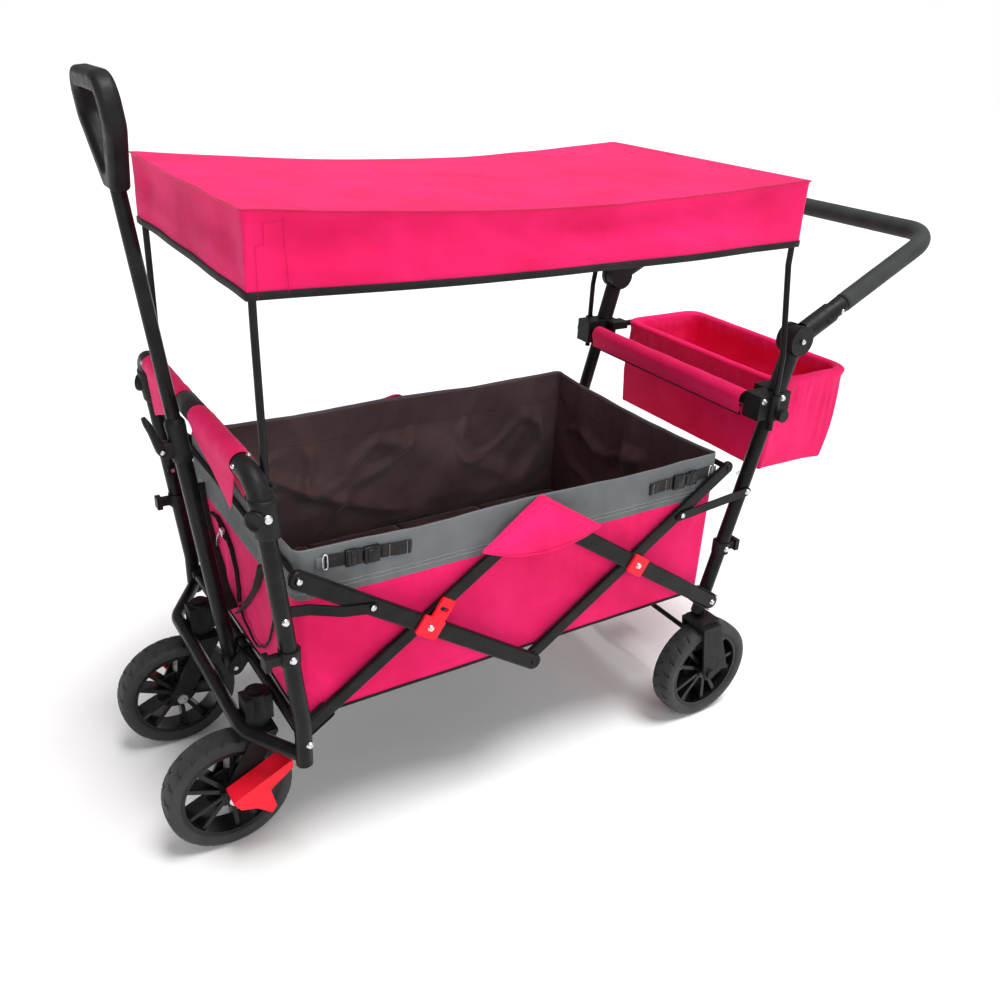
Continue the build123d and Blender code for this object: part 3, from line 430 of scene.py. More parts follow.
def settle(obj, hold, shrink, gravity, bend, out, inward):
    """Let cloth fall and fold, with the held points fixed and every point kept near its place."""
    rest, outward = positions(obj.data), normals(obj.data)
    group = obj.vertex_groups.new(name="hold")
    for i, weight in enumerate(hold):
        if weight > 0:
            group.add([i], float(weight), "REPLACE")
    cloth = obj.modifiers.new("cloth", "CLOTH")
    settings = cloth.settings
    settings.quality = 4
    settings.mass = 0.2
    settings.tension_stiffness = settings.compression_stiffness = 12
    settings.shear_stiffness = 4
    settings.bending_stiffness = bend
    settings.vertex_group_mass = "hold"
    settings.shrink_min = shrink
    settings.effector_weights.gravity = gravity
    cloth.collision_settings.use_collision = False
    cloth.point_cache.frame_start = 1
    cloth.point_cache.frame_end = CLOTH_FRAMES + 2
    for f in range(1, CLOTH_FRAMES + 1):
        scene.frame_set(f)
    move = positions(obj.evaluated_get(bpy.context.evaluated_depsgraph_get()).to_mesh()) - rest
    obj.modifiers.remove(cloth)
    scene.frame_set(1)
    along = (move * outward).sum(1)
    sideways = move - along[:, None] * outward
    limit = np.where(along > 0, out, inward) + 1e-9
    along = limit * np.tanh(along / limit)
    length = np.linalg.norm(sideways, axis=1) + 1e-12
    sideways *= (SLIDE * np.tanh(length / SLIDE) / length)[:, None]
    place_points(obj, rest + along[:, None] * outward + sideways)


def sweep(name, path, section, material, closed=False, up=(0, 0, 1)):
    """A section of (out, up) offsets carried along a path."""
    path = [Vector(p) for p in path]
    count, size = len(path), len(section)
    points = []
    for i, p in enumerate(path):
        before = path[(i - 1) % count] if closed or i else p
        after = path[(i + 1) % count] if closed or i < count - 1 else p
        forward = (after - before).normalized()
        side = forward.cross(Vector(up)).normalized()
        rise = side.cross(forward).normalized()
        points += [p + side * a + rise * b for a, b in section]
    faces = grid_faces(count, size, closed=True)
    if closed:
        last = (count - 1) * size
        faces += [(last + j, last + (j + 1) % size, (j + 1) % size, j) for j in range(size)]
    else:
        faces += end_caps(count, size)
    return mesh_piece(name, points, faces, [material])


def disc(radius, count=10, flat=1.0):
    turns = [TAU * k / count for k in range(count)]
    return [(radius * math.cos(a), radius * flat * math.sin(a)) for a in turns]


def slab(width, thick, count=3):
    """The section of a strap on edge, with rounded edges."""
    points = []
    for start, sign in ((-math.pi / 2, 1), (math.pi / 2, -1)):
        for k in range(count + 1):
            a = start + math.pi * k / count
            points.append((sign * (width - thick) / 2 + thick / 2 * math.cos(a), thick / 2 * math.sin(a)))
    return points


def flat_slab(width, thick):
    """The section of a strap lying flat, in millimetres."""
    return [(b, a) for a, b in slab(width * MM, thick * MM)]


def stitches(name, path, outward, material, pitch=4.2, length=2.9, radius=0.42):
    """A row of thread stitches along a path, each a small lozenge on the cloth. Sizes are in millimetres."""
    path, outward = [Vector(p) for p in path], [Vector(n) for n in outward]
    lozenge = grid_faces(4, 6, closed=True) + end_caps(4, 6)
    points, faces = [], []
    travelled, due = 0.0, 0.0
    for a, b, n_a, n_b in zip(path, path[1:], outward, outward[1:]):
        step = (b - a).length
        while step > 0 and due <= travelled + step:
            t = (due - travelled) / step
            centre, n, along = a.lerp(b, t), n_a.lerp(n_b, t).normalized(), (b - a).normalized()
            side = along.cross(n)
            faces += [tuple(len(points) + v for v in face) for face in lozenge]
            for reach, size in ((-0.5, 0.25), (-0.3, 1.0), (0.3, 1.0), (0.5, 0.25)):
                for c, s in disc(1.0, 6):
                    lift = (side * c + n * (s * 0.8 + 0.25)) * radius * MM * size
                    points.append(centre + along * reach * length * MM + lift)
            due += pitch * MM
        travelled += step
    return mesh_piece(name, points, faces, [material])


def box_piece(name, low, high, material, round_by, segments=3):
    """A block with rounded edges."""
    made = bmesh.new()
    bmesh.ops.create_cube(made, size=1)
    for v in made.verts:
        v.co = [a + (t + 0.5) * (b - a) for a, b, t in zip(low, high, v.co)]
    bmesh.ops.bevel(made, geom=made.edges[:], offset=round_by, segments=segments, profile=0.5, affect="EDGES")
    made.verts.index_update()
    faces = [[v.index for v in face.verts] for face in made.faces]
    piece = mesh_piece(name, [v.co for v in made.verts], faces, [material])
    made.free()
    return piece


def joined(name, pieces):
    """Several pieces as one object, with their materials kept."""
    points, faces, indices, materials = [], [], [], []
    for obj in pieces:
        base = len(points)
        points += [obj.matrix_world @ v.co for v in obj.data.vertices]
        for slot in obj.data.materials:
            if slot not in materials:
                materials.append(slot)
        for face in obj.data.polygons:
            faces.append(tuple(base + v for v in face.vertices))
            indices.append(materials.index(obj.data.materials[face.material_index]))
        bpy.data.objects.remove(obj)
    return mesh_piece(name, points, faces, materials, indices)


def turned_piece(name, stations, axis, across, material, count=28, flip=False):
    """A turned shape: circles of given radii about centres along an axis."""
    rise = axis.cross(across)
    points = [centre + (across * a + rise * b) * r for centre, r in stations for a, b in disc(1.0, count)]
    faces = grid_faces(len(stations), count, closed=True) + end_caps(len(stations), count)
    if flip:
        faces = [tuple(reversed(face)) for face in faces]
    return mesh_piece(name, points, faces, [material])


def rivet_head(x, y, z, side, radius=4.6 * MM, height=2.2 * MM):
    """A domed head with its axis along Y, standing on a face at y."""
    dome = ((1.0, 0.0), (1.0, 0.25), (0.86, 0.62), (0.55, 0.9), (0.2, 1.0))
    stations = [(Vector((x, y + side * height * h, z)), radius * r) for r, h in dome]
    return turned_piece("rivet_head", stations, -Y_AXIS, X_AXIS, SILVER, 18, flip=side > 0)


# ---- tyres --------------------------------------------------------------------------
RIM_EDGE_R = 78.3 * MM
TYRE_STEPS, TREAD_STEPS = 432, 34
TREAD_PITCH = TAU / 24


def sipe(turn, depth, half_width, radius):
    """How deep a groove is at a place in the tread's pattern, in metres."""
    near = min(turn % 1, 1 - turn % 1) * TREAD_PITCH * radius
    return depth * MM * max(0.0, 1 - (near / (half_width * MM)) ** 2)


def tyre_piece(name, x, y, z, radius, inner, width):
    """A rubber tyre with a crowned tread cut by wavy sipes."""
    half, wall = width / 2, radius - inner
    flank = ((0.80, -0.02), (0.93, 0.10), (1.0, 0.30), (1.0, 0.52), (0.965, 0.70), (0.90, 0.82))
    profile = [(-y_p * half, inner + r_p * wall, False) for y_p, r_p in flank]
    for k in range(TREAD_STEPS + 1):
        t = -1 + 2 * k / TREAD_STEPS
        profile.append((t * half * 0.84, radius - wall * 0.105 * abs(t) ** 2.6, True))
    profile += [(y_p * half, inner + r_p * wall, False) for y_p, r_p in reversed(flank)]
    points, faces = [], []
    size = len(profile)
    for i in range(TYRE_STEPS):
        a = TAU * i / TYRE_STEPS
        for y_p, r, on_tread in profile:
            if on_tread:
                t, turn = y_p / half, a / TREAD_PITCH
                wave = 0.32 * math.sin(3.4 * t + 0.6) + 0.10 * math.sin(9 * t)
                r -= (1.0 if abs(t) > 0.16 else 0.25) * sipe(turn + wave, 2.6, 1.9, radius)
                if 0.30 < abs(t) < 0.80:
                    r -= sipe(turn + 0.5 - wave * 0.8, 1.9, 1.6, radius)
            points.append((x + r * math.cos(a), y + y_p, z + r * math.sin(a)))
        this, after = i * size, (i + 1) % TYRE_STEPS * size
        faces += [(this + k, after + k, after + (k + 1) % size, this + (k + 1) % size) for k in range(size)]
    return mesh_piece(name, points, faces, [RUBBER])


for _, word in SIDES:
    for kind, body in (("caster", "caster_wheel"), ("rear", "rear_wheel")):
        low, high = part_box(f"{word}_{kind}_tyre")
        tyre = tyre_piece(
            f"{word}_{kind}_tyre_treaded", *((low + high) / 2),
            (high.x - low.x) / 2, RIM_EDGE_R, high.y - low.y,
        )
        attach(tyre, f"{word}_{body}", f"{word}_{kind}_tyre")


# ---- bed: one tub of cloth, pink and grey outside, brown inside -----------------------
bed_low, bed_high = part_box("bed")
BED_X0, BED_X1, BED_Y = bed_low.x, bed_high.x, bed_high.y
BED_Z0, RIM_Z = bed_low.z, bed_high.z
BAND_Z = RIM_Z - 78 * MM
BED_NX, BED_NY = 84, 50
BED_FOLD = {"anchor": (BED_X0, 0, 0), "keep": 0.19}
OUTSIDE, BAND, LINING = 0, 1, 2


def on_bed(obj, replaces=None):
    return attach(obj, "bed", replaces, BED_FOLD)


def bed_ring(inset):
    r = max(4 * MM, 14 * MM - inset)
    return ring(BED_X0 + inset, BED_X1 - inset, -BED_Y + inset, BED_Y - inset, r, BED_NX, BED_NY)


def rim_rise(x, y):
    """The rim's droop between its held places, and the small waves along it."""
    if abs(y) > BED_Y - 12 * MM:
        droop = 4 * MM * math.sin(TAU * (x - BED_X0) / (BED_X1 - BED_X0)) ** 2
    else:
        droop = 9 * MM * max(0.0, math.cos(math.pi * y / (2 * BED_Y))) ** 0.7
    return -droop + 1.2 * MM * ripple((x, y, 0), 22, 3)


def outside_push(x, y, z, n, belly, corner):
    """How far the outside stands out: bellied end walls, and a few slight folds along the sides."""
    side_share = 1 - abs(n[0])
    push = belly * MM * (10 * max(0.0, -n[0]) + 6 * max(0.0, n[0]) + 1.5 * side_share)
    push += 1.2 * MM * corner * ripple((x, y, z), 11, 5, (1, 1, 0.7))
    push += crest((x + 0.6 * z, y, z), 5.5, 9, 0.75, 4, (1, 1, 0.8)) * corner * side_share
    return min(push, 2.6 * MM) if side_share > 0.7 else push


def lining_push(x, y, z, height, belly, corner):
    """The lining's loose folds, which are deepest below its seam."""
    slant = 0.9 if y > 0 else -0.9
    free = corner * math.sin(math.pi * min(1, max(0.0, height))) ** 0.6
    below = min(1.0, max(0.0, (RIM_Z - 66 * MM - z) / (20 * MM)))
    push = -3 * MM * belly - 3 * MM * free * (0.5 + 0.5 * ripple((x, y, z), 14, 8, (1, 1, 0.6)))
    broad = crest((x + slant * z, y + slant * z, z), 4.2, 14, 0.55, 40, (1, 1, 0.45))
    fine = crest((x - slant * z, y + 0.4 * z, z), 9.0, 27, 0.6, 16, (1, 1, 0.5))
    sharp = crest((x - 0.7 * slant * z, y + 0.7 * z, 0.6 * z), 7.0, 33, 0.78, 75)
    push -= free * (broad * (0.3 + 0.7 * below) + fine * below + sharp * (0.25 + 0.75 * below))
    return push + 1.6 * MM * math.exp(-((z - (RIM_Z - 62 * MM)) / (4 * MM)) ** 2)


def bed_shell():
    """The tub from its foot up the outside, over the rim and down the lining, with what holds each point."""
    foot, band_top = BED_Z0 + 1 * MM, RIM_Z - 3 * MM
    lining_foot, lining_top = BED_Z0 + 2.4 * MM, RIM_Z - 5 * MM
    rows = [(0.4 * MM, foot + (BAND_Z - foot) * k / 26, OUTSIDE) for k in range(27)]
    rows += [(0.4 * MM, BAND_Z + (band_top - BAND_Z) * k / 9, BAND) for k in range(1, 10)]
    rows += [(0.9 * MM, RIM_Z - 1 * MM, BAND), (2.4 * MM, RIM_Z, BAND), (4.2 * MM, RIM_Z - 1 * MM, BAND)]
    rows += [(4.8 * MM, lining_top - (lining_top - lining_foot) * k / 34, LINING) for k in range(35)]
    points, hold, outs, ins = [], [], [], []
    for inset, z, kind in rows:
        for (x, y), n in zip(*bed_ring(inset)):
            at_end = abs(n[0]) > 0.5
            from_corner = abs(abs(y) - BED_Y) if at_end else min(abs(x - BED_X0), abs(x - BED_X1))
            corner = min(1.0, from_corner / (80 * MM))
            height = (z - BED_Z0) / (RIM_Z - BED_Z0)
            belly = math.sin(math.pi * min(1.0, height)) * corner
            if kind == LINING:
                push, out, inward = lining_push(x, y, z, height, belly, corner), 2, 9
            else:
                push, out, inward = outside_push(x, y, z, n, belly, corner), (4 if at_end else 1.2), 1
            outs.append(out * MM)
            ins.append(inward * MM)
            lift = rim_rise(x, y) * max(0.0, (z - BAND_Z) / (RIM_Z - BAND_Z))
            points.append((x + n[0] * push, y + n[1] * push, z + lift))
            held = z > RIM_Z - 12 * MM or z < BED_Z0 + 15 * MM or corner < 0.15
            seam = abs(z - BAND_Z) < 2 * MM and kind != LINING
            hold.append(1.0 if held else (0.6 if seam else 0.0))
    columns = len(points) // len(rows)
    indices = []
    for (_, _, kind), (_, _, above) in zip(rows, rows[1:]):
        indices += [BAND if above == BAND else kind] * columns
    faces = grid_faces(len(rows), columns, closed=True)
    piece = mesh_piece("bed_cloth", points, faces, [PINK, GREY, BROWN], indices)
    return piece, hold, np.array(outs), np.array(ins), columns, rows


shell, hold, outs, ins, bed_columns, bed_rows = bed_shell()
settle(shell, hold, shrink=-0.02, gravity=0.6, bend=0.25, out=outs, inward=ins)
shell_points, shell_normals = positions(shell.data), normals(shell.data)
thicken(shell, 0)
on_bed(shell, "bed")


def bed_row(z, kind):
    """The closed line of places and outward directions along the tub's row nearest to a height."""
    same_kind = [i for i in range(len(bed_rows)) if bed_rows[i][2] == kind]
    row = min(same_kind, key=lambda i: abs(bed_rows[i][1] - z))
    around = [*range(row * bed_columns, (row + 1) * bed_columns), row * bed_columns]
    return shell_points[around], shell_normals[around]


for number, rise in enumerate((2.2, 9.0)):
    places, outward = bed_row(BAND_Z, BAND)
    lifted = places + outward * 0.3 * MM + np.array([0, 0, rise * MM])
    on_bed(stitches(f"band_stitch_{number}", lifted, outward, THREAD))
places, outward = bed_row(RIM_Z - 64 * MM, LINING)
on_bed(stitches("lining_stitch", places + outward * 0.3 * MM, outward, DARK_THREAD))

places, outward = bed_row(BED_Z0, OUTSIDE)
piping_path = places[:-1] + outward[:-1] * 0.6 * MM
on_bed(sweep("bed_piping", piping_path, disc(2.3 * MM, 8), BLACK_CLOTH, closed=True))


def floor_sheet(name, inset, z, material, thickness):
    """A cloth floor inside the tub, with slight waves away from its edge."""
    steps = 12
    loop, _ = bed_ring(inset)
    centre = np.array([(BED_X0 + BED_X1) / 2, 0.0])
    points = []
    for k in range(steps):
        share = 1 - k / steps
        for x, y in centre + (loop - centre) * share:
            points.append((x, y, z - 0.8 * MM * ripple((x, y, 0), 13, 21) * min(1, (1 - share) * 6)))
    points.append((*centre, z))
    columns = len(loop)
    last = (steps - 1) * columns
    faces = grid_faces(steps, columns, closed=True)
    faces += [(last + j, last + (j + 1) % columns, len(points) - 1) for j in range(columns)]
    return thicken(mesh_piece(name, points, faces, [material]), thickness, 0)


on_bed(floor_sheet("bed_floor_lining", 5 * MM, BED_Z0 + 3.0 * MM, BROWN, 0.4 * MM))
on_bed(floor_sheet("bed_underside", 0.6 * MM, BED_Z0 + 1.6 * MM, BLACK_CLOTH, 1.2 * MM))


def mat_panel(x0, x1, y0, y1, z0, z1):
    """One stiff padded panel of the floor mat, crowned and rounded at its edges."""
    nx, ny = 18, 36
    points = []
    for top in (1, 0):
        for i in range(nx + 1):
            for j in range(ny + 1):
                u, v = 2 * i / nx - 1, 2 * j / ny - 1
                edge = (1 - abs(u) ** 8) * (1 - abs(v) ** 14)
                x, y = x0 + (x1 - x0) * (u + 1) / 2, y0 + (y1 - y0) * (v + 1) / 2
                rise = (z1 - z0) * (0.35 + 0.65 * edge ** 0.5) + 0.4 * MM * ripple((x, y, 0), 30, 31) * edge
                points.append((x, y, z0 + rise * top))
    size = (nx + 1) * (ny + 1)
    sheet = grid_faces(nx + 1, ny + 1)
    faces = [tuple(reversed(f)) for f in sheet] + [tuple(size + v for v in f) for f in sheet]
    loop = grid_border(nx + 1, ny + 1)
    faces += [(b, a, size + a, size + b) for a, b in zip(loop, loop[1:] + loop[:1])]
    return mesh_piece("mat_panel", points, faces, [BROWN])


mat_low, mat_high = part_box("floor_mat")
panels = []
for k in range(4):
    step = (mat_high.x - mat_low.x) / 4
    x0, x1 = mat_low.x + k * step + 1 * MM, mat_low.x + (k + 1) * step - 1 * MM
    panels.append(mat_panel(x0, x1, mat_low.y, mat_high.y, mat_low.z, mat_high.z))
mat = on_bed(joined("floor_mat_quilted", panels), "floor_mat")


# ---- canopy -------------------------------------------------------------------------
can_low, can_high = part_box("canopy")
CAN_NX, CAN_NY, CAN_ROWS = 78, 42, 13
CANOPY_FOLD = {"anchor": (can_low.x, 0, 0), "keep": 0.318}
front_hoop_x, rear_hoop_x = (
    sum(corner.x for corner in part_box(hoop)) / 2 for hoop in ("canopy_front_hoop", "canopy_rear_hoop")
)


def canopy_shape():
    """The top sheet and the valance below its edge, as one cloth, with the points that the hoops hold."""
    x0, x1, y1, z1, z0 = can_low.x, can_high.x, can_high.y, can_high.z, can_low.z
    points, hold = [], []
    for i in range(CAN_NX + 1):
        for j in range(CAN_NY + 1):
            x, y = x0 + (x1 - x0) * i / CAN_NX, -y1 + 2 * y1 * j / CAN_NY
            across = abs(y) / y1
            along = min(1, max(0, (x - front_hoop_x) / (rear_hoop_x - front_hoop_x)))
            dip = max(0.0, math.sin(math.pi * along)) * (15 + 5 * across ** 2) * MM
            pull = math.sin(math.pi * i / CAN_NX) * 7 * MM * across ** 3
            fold = abs(2.2 * MM * ripple((x, y, 0), 6, 41, (1, 2, 1))) * min(1, dip / (6 * MM))
            over = 0.0
            if abs(x - front_hoop_x) <= 60 * MM:
                lip = max(0.0, (front_hoop_x + 60 * MM - x) / (70 * MM))
                lip *= max(0.0, math.cos(math.pi * y / (2 * y1))) ** 0.6
                over = 4 * MM * lip * (1 + ripple((x, y, 0), 17, 47))
            points.append((x, y - math.copysign(pull, y), z1 - 0.6 * MM - dip - fold - over))
            hold.append(float(min(abs(x - front_hoop_x), abs(x - rear_hoop_x)) < 9 * MM))
    faces = grid_faces(CAN_NX + 1, CAN_NY + 1)
    edge = grid_border(CAN_NX + 1, CAN_NY + 1)
    previous = edge
    for r in range(1, CAN_ROWS + 1):
        t = r / CAN_ROWS
        current = list(range(len(points), len(points) + len(edge)))
        for e in edge:
            x, y, z = points[e]
            nx = -1 if x < x0 + 1 * MM else (1 if x > x1 - 1 * MM else 0)
            at_side = abs(y) >= y1 * 0.93
            low = z0 + 7 * MM
            if at_side and not nx:
                low -= 7 * MM * math.sin(math.pi * (x - x0) / (x1 - x0))
            z_now = z - (z - low) * t
            corner = min(1.0, (y1 - abs(y)) / 0.07 if nx else min(abs(x - x0), abs(x - x1)) / 0.09)
            wave = 5.5 * MM * ripple((x, y, z), 7, 44) * math.sin(math.pi * t * 0.5) * corner
            folds = crest((x + 1.6 * z_now, y + 1.6 * z_now, z_now), 6.5, 49, 0.62, 11)
            wave -= folds * corner * math.sin(math.pi * t)
            tuck = -13 * MM * math.sin(math.pi * min(1, t * 1.5)) * corner
            tuck *= 0.6 + 0.5 * ripple((x, y, 0), 6, 45)
            push = wave + (tuck * 0.6 if nx else tuck)
            target_y = math.copysign(y1 - 2.5 * MM, y) if at_side else y
            points.append((
                min(max(x + nx * push, x0 + 0.3 * MM), x1 - 0.3 * MM),
                y + (target_y - y) * min(1, t * 1.2) + (0 if nx else math.copysign(1, y) * push),
                z_now,
            ))
            hold.append(float(corner < 0.12))
        faces += strip(current, previous)
        previous = current
    return points, faces, hold, edge, current


can_points, can_faces, can_hold, can_edge, can_hem = canopy_shape()
canopy = mesh_piece("canopy_cloth", can_points, can_faces, [PINK])
settle(canopy, can_hold, shrink=-0.008, gravity=0.6, bend=0.6, out=5 * MM, inward=5 * MM)
can_co = positions(canopy.data)
thicken(canopy, 1.2 * MM)


def on_canopy(obj, replaces=None):
    return attach(obj, "canopy_front", replaces, CANOPY_FOLD)


on_canopy(canopy, "canopy")
HEM_SECTION = [(a * MM, b * MM) for a, b in ((-1.5, -5), (1.5, -5), (1.7, 0), (1.5, 5), (-1.5, 5), (-1.7, 0))]
hem_line = can_co[can_hem] + np.array([0, 0, 3.2 * MM])
on_canopy(sweep("canopy_binding", hem_line, HEM_SECTION, BLACK_CLOTH, closed=True))
seam_line = can_co[can_edge] + np.array([0, 0, -0.4 * MM])
on_canopy(sweep("canopy_seam", seam_line, disc(1.1 * MM, 6), PINK_TRIM, closed=True))


def valance_spot(x, z, side):
    """A place on the side valance, just outside the cloth."""
    near = (np.abs(can_co[:, 0] - x) < 12 * MM) & (np.abs(can_co[:, 2] - z) < 9 * MM)
    near &= can_co[:, 1] * side > 0.2
    reach = np.abs(can_co[near, 1]).max() if near.any() else can_high.y
    return (x, side * (reach + 1.3 * MM), z)


for side, word in SIDES:
    rows = []
    for corners in (((14, -100), (14, -42), (25, -40), (25, -16), (50, -14)), ((50, -14), (52, -98))):
        for (x0, z0), (x1, z1) in zip(corners, corners[1:]):
            line = [
                valance_spot(can_low.x + x * MM, can_high.z + z * MM, side)
                for x, z in zip(np.linspace(x0, x1, 7), np.linspace(z0, z1, 7))
            ]
            rows.append(stitches("patch", line, [(0, side, 0)] * len(line), PINK_THREAD, 3.4, 2.4))
    on_canopy(joined(f"{word}_valance_stitching", rows))


# ---- basket -------------------------------------------------------------------------
bag_low, bag_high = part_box("basket")
BAG_NX, BAG_NY = 34, 72
tube_z = 638 * MM


def bag_ring(inset, r):
    x0, x1, y0, y1 = bag_low.x + inset, bag_high.x - inset, bag_low.y + inset, bag_high.y - inset
    return ring(x0, x1, y0, y1, r, BAG_NX, BAG_NY, 8)


def basket_piece():
    """The bag from its foot up the outside, over the rim's tube and down the inside, with both bottoms."""
    bottom = bag_low.z + 2 * MM
    rows = []
    for t in [0, 0.012, 0.04] + [0.1 + 0.07 * k for k in range(12)] + [0.93, 0.97, 1]:
        rows.append(("out", 4.5 * MM, bottom + (tube_z - 8 * MM - bottom) * t, t))
    for k in range(9):
        a = math.pi * (k + 0.5) / 9
        rows.append(("rim", 9 * MM - 8.2 * MM * math.cos(a), tube_z + 8.6 * MM * math.sin(a), 1))
    for t in [1, 0.96] + [0.9 - 0.07 * k for k in range(13)] + [0.02, 0]:
        inset = (8 + 9 * max(0.0, (t - 0.8) / 0.2) ** 2) * MM
        rows.append(("in", inset, bottom + 4 * MM + (tube_z - 14 * MM - bottom) * t, t))
    points, hold = [], []
    for kind, inset, z, t in rows:
        for (x, y), n in zip(*bag_ring(inset, (9 + 21 * t ** 2) * MM)):
            x = x - 26 * MM * (x - bag_low.x) / (bag_high.x - bag_low.x) * (1 - t)
            y = y * (1 - 0.025 * (1 - t))
            swell = math.sin(math.pi * t)
            pucker = ripple((x, y, 0), 38, 61) * (0.8 if kind == "rim" else 2.2) * MM
            folds = crest((x + 0.5 * z, y + 0.5 * z, z), 8.5, 68, 0.62, 9, (1, 1, 0.7))
            gather = abs(crease((x, y, z * 0.3), 24, 62)) * 2.6 * MM
            gather *= math.exp(-((z - (tube_z - 16 * MM)) / (16 * MM)) ** 2)
            soft = 3.5 * MM * ripple((x, y, z), 7, 63)
            if kind == "out":
                push = (2.8 * MM + soft + folds) * swell + pucker * t ** 4 * 0.4 - gather * 0.5
            elif kind == "in":
                push = (2.1 * MM + soft - folds) * swell - gather * 1.2 + pucker * t ** 3
            else:
                push = pucker * 0.5
            rise = 1.6 * MM * ripple((x, y, 0), 20, 64) if kind == "rim" else 0
            points.append((min(x + n[0] * push, bag_high.x), y + n[1] * push, z + min(0, rise)))
            hold.append(float(kind == "rim"))
    columns = len(points) // len(rows)
    faces = grid_faces(len(rows), columns, closed=True)
    for base, dish in ((0, 1.5 * MM), ((len(rows) - 1) * columns, 0.5 * MM)):
        loop = np.array(points[base:base + columns])
        centre = loop.mean(0)
        previous = list(range(base, base + columns))
        for share in (0.8, 0.55, 0.3):
            current = list(range(len(points), len(points) + columns))
            for p in loop:
                q = centre + (p - centre) * share
                q[2] = centre[2] - dish * (1 - share) + 1 * MM * ripple(q, 12, 66)
                points.append(tuple(q))
            faces += strip(previous, current) if base else strip(current, previous)
            previous = current
        fan = [(a, b, len(points)) for a, b in zip(previous, previous[1:] + previous[:1])]
        faces += fan if base else [tuple(reversed(face)) for face in fan]
        points.append(tuple(centre))
    hold += [0.0] * (len(points) - len(hold))
    return mesh_piece("basket_bag", points, faces, [PINK]), hold


bag, bag_hold = basket_piece()
settle(bag, bag_hold, shrink=-0.02, gravity=0.8, bend=0.3, out=4 * MM, inward=4 * MM)
thicken(bag, 0)
attach(bag, "rear_frame", "basket")


# ---- sleeves over the top bar and the crossbar -----------------------------------------
def wrap(name, x, z, y0, y1, radius, drop, seed):
    """Cloth wrapped over a bar along Y, its two edges hanging together below."""
    rows = 34
    points = []
    for i in range(rows + 1):
        y, hang = y0 + (y1 - y0) * i / rows, drop(i / rows)
        section = [(-radius * 0.55 - 2 * MM, -radius - hang * (1 - k / 6)) for k in range(6)]
        turns = np.radians(np.linspace(215, -35, 16))
        section += [(radius * math.cos(a), radius * math.sin(a)) for a in turns]
        section += [(radius * 0.45, -radius * 0.9 - hang * 0.8 * (k + 1) / 6) for k in range(6)]
        for a, b in section:
            w = 1.1 * MM * ripple((a * 2, y, b), 26, seed) + 0.8 * MM * ripple((a, y, b), 60, seed + 1)
            length = math.hypot(a, b) + 1e-9
            points.append((x + a + w * a / length, y, z + b + w * b / length))
    size = len(points) // (rows + 1)
    return thicken(mesh_piece(name, points, grid_faces(rows + 1, size), [PINK]), 1.2 * MM, offset=0)


def arch_drop(t):
    """How far the arch's sleeves hang: more and more towards the elbow, and then cut back."""
    return (10 + 50 * min(1.0, t / 0.86) ** 1.2 - 62 * max(0.0, t - 0.86) / 0.14) * MM


top_bar_x, top_bar_z = -576.8 * MM, 676 * MM
for side, word in SIDES:
    y0, y1 = side * 32 * MM, side * 214 * MM
    sleeve = wrap(f"{word}_bar_sleeve", top_bar_x, top_bar_z, y0, y1, 16.5 * MM, arch_drop, 71 + side)
    attach(sleeve, "front_frame", "front_bar_sleeves" if side < 0 else None)

strap_path = [(top_bar_x + a, 0, top_bar_z + b) for a, b in disc(15.5 * MM, 32)]
strap = sweep("top_bar_webbing", strap_path, flat_slab(62, 2), WEB_X, closed=True, up=Y_AXIS)
attach(strap, "front_frame", "top_bar_strap")

cross_low, cross_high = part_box("crossbar_sleeve")
cross_x, cross_z = (cross_low.x + cross_high.x) / 2, 622 * MM
cover = wrap("crossbar_cover", cross_x, cross_z, cross_low.y, cross_high.y, 15.5 * MM, lambda t: 9 * MM, 81)
attach(cover, "rear_frame", "crossbar_sleeve")
edging_path = [(cross_x - 8 * MM, y, cross_z - 25 * MM) for y in np.linspace(cross_low.y, cross_high.y, 40)]
attach(sweep("crossbar_edging", edging_path, slab(3 * MM, 6 * MM), BLACK_CLOTH), "rear_frame")


# ---- foam grip on the push handle -------------------------------------------------------
def smooth_path(points, bend, step=6 * MM):
    """Straight runs joined by round bends, as closely spaced points."""
    points = [Vector(p) for p in points]
    path = [points[0]]
    for a, b, c in zip(points, points[1:], points[2:]):
        into, away = (b - a).normalized(), (c - b).normalized()
        angle = into.angle(away)
        cut = bend * math.tan(angle / 2)
        start = b - into * cut
        normal = (away - into * away.dot(into)).normalized()
        centre = start + normal * bend
        count = max(2, int(bend * angle / step))
        run = start - path[-1]
        pieces = max(1, int(run.length / step))
        path += [path[-1] + run * ((k + 1) / pieces) for k in range(pieces - 1)]
        for k in range(count + 1):
            turn = angle * k / count
            path.append(centre - normal * bend * math.cos(turn) + into * bend * math.sin(turn))
    run = points[-1] - path[-1]
    pieces = max(1, int(run.length / step))
    path += [path[-1] + run * ((k + 1) / pieces) for k in range(pieces)]
    return path


grip_low, grip_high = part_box("push_grip")
TILT = math.radians(26.3)
GRIP_R, GRIP_BEND, FOAM_RUN = 16.5 * MM, 48 * MM, 234 * MM
arm_y = (grip_high.y - grip_low.y) / 2 - GRIP_R
far_x, far_z = grip_high.x - GRIP_R, grip_high.z - GRIP_R
near_x, near_z = far_x - FOAM_RUN * math.cos(TILT), far_z - FOAM_RUN * math.sin(TILT)
grip_corners = [
    (near_x, -arm_y, near_z), (far_x, -arm_y, far_z), (far_x, arm_y, far_z), (near_x, arm_y, near_z),
]
grip_path = smooth_path(grip_corners, GRIP_BEND, 5 * MM)
grip = sweep("push_grip_foam", grip_path, disc(GRIP_R - 0.1 * MM, 28), FOAM, up=(0.3, 0, 1))
grip_co = positions(grip.data)
dents = np.array([min(0, 0.25 * MM * ripple(p, 40, 91) - 0.1 * MM) for p in grip_co])
place_points(grip, grip_co + dents[:, None] * normals(grip.data))
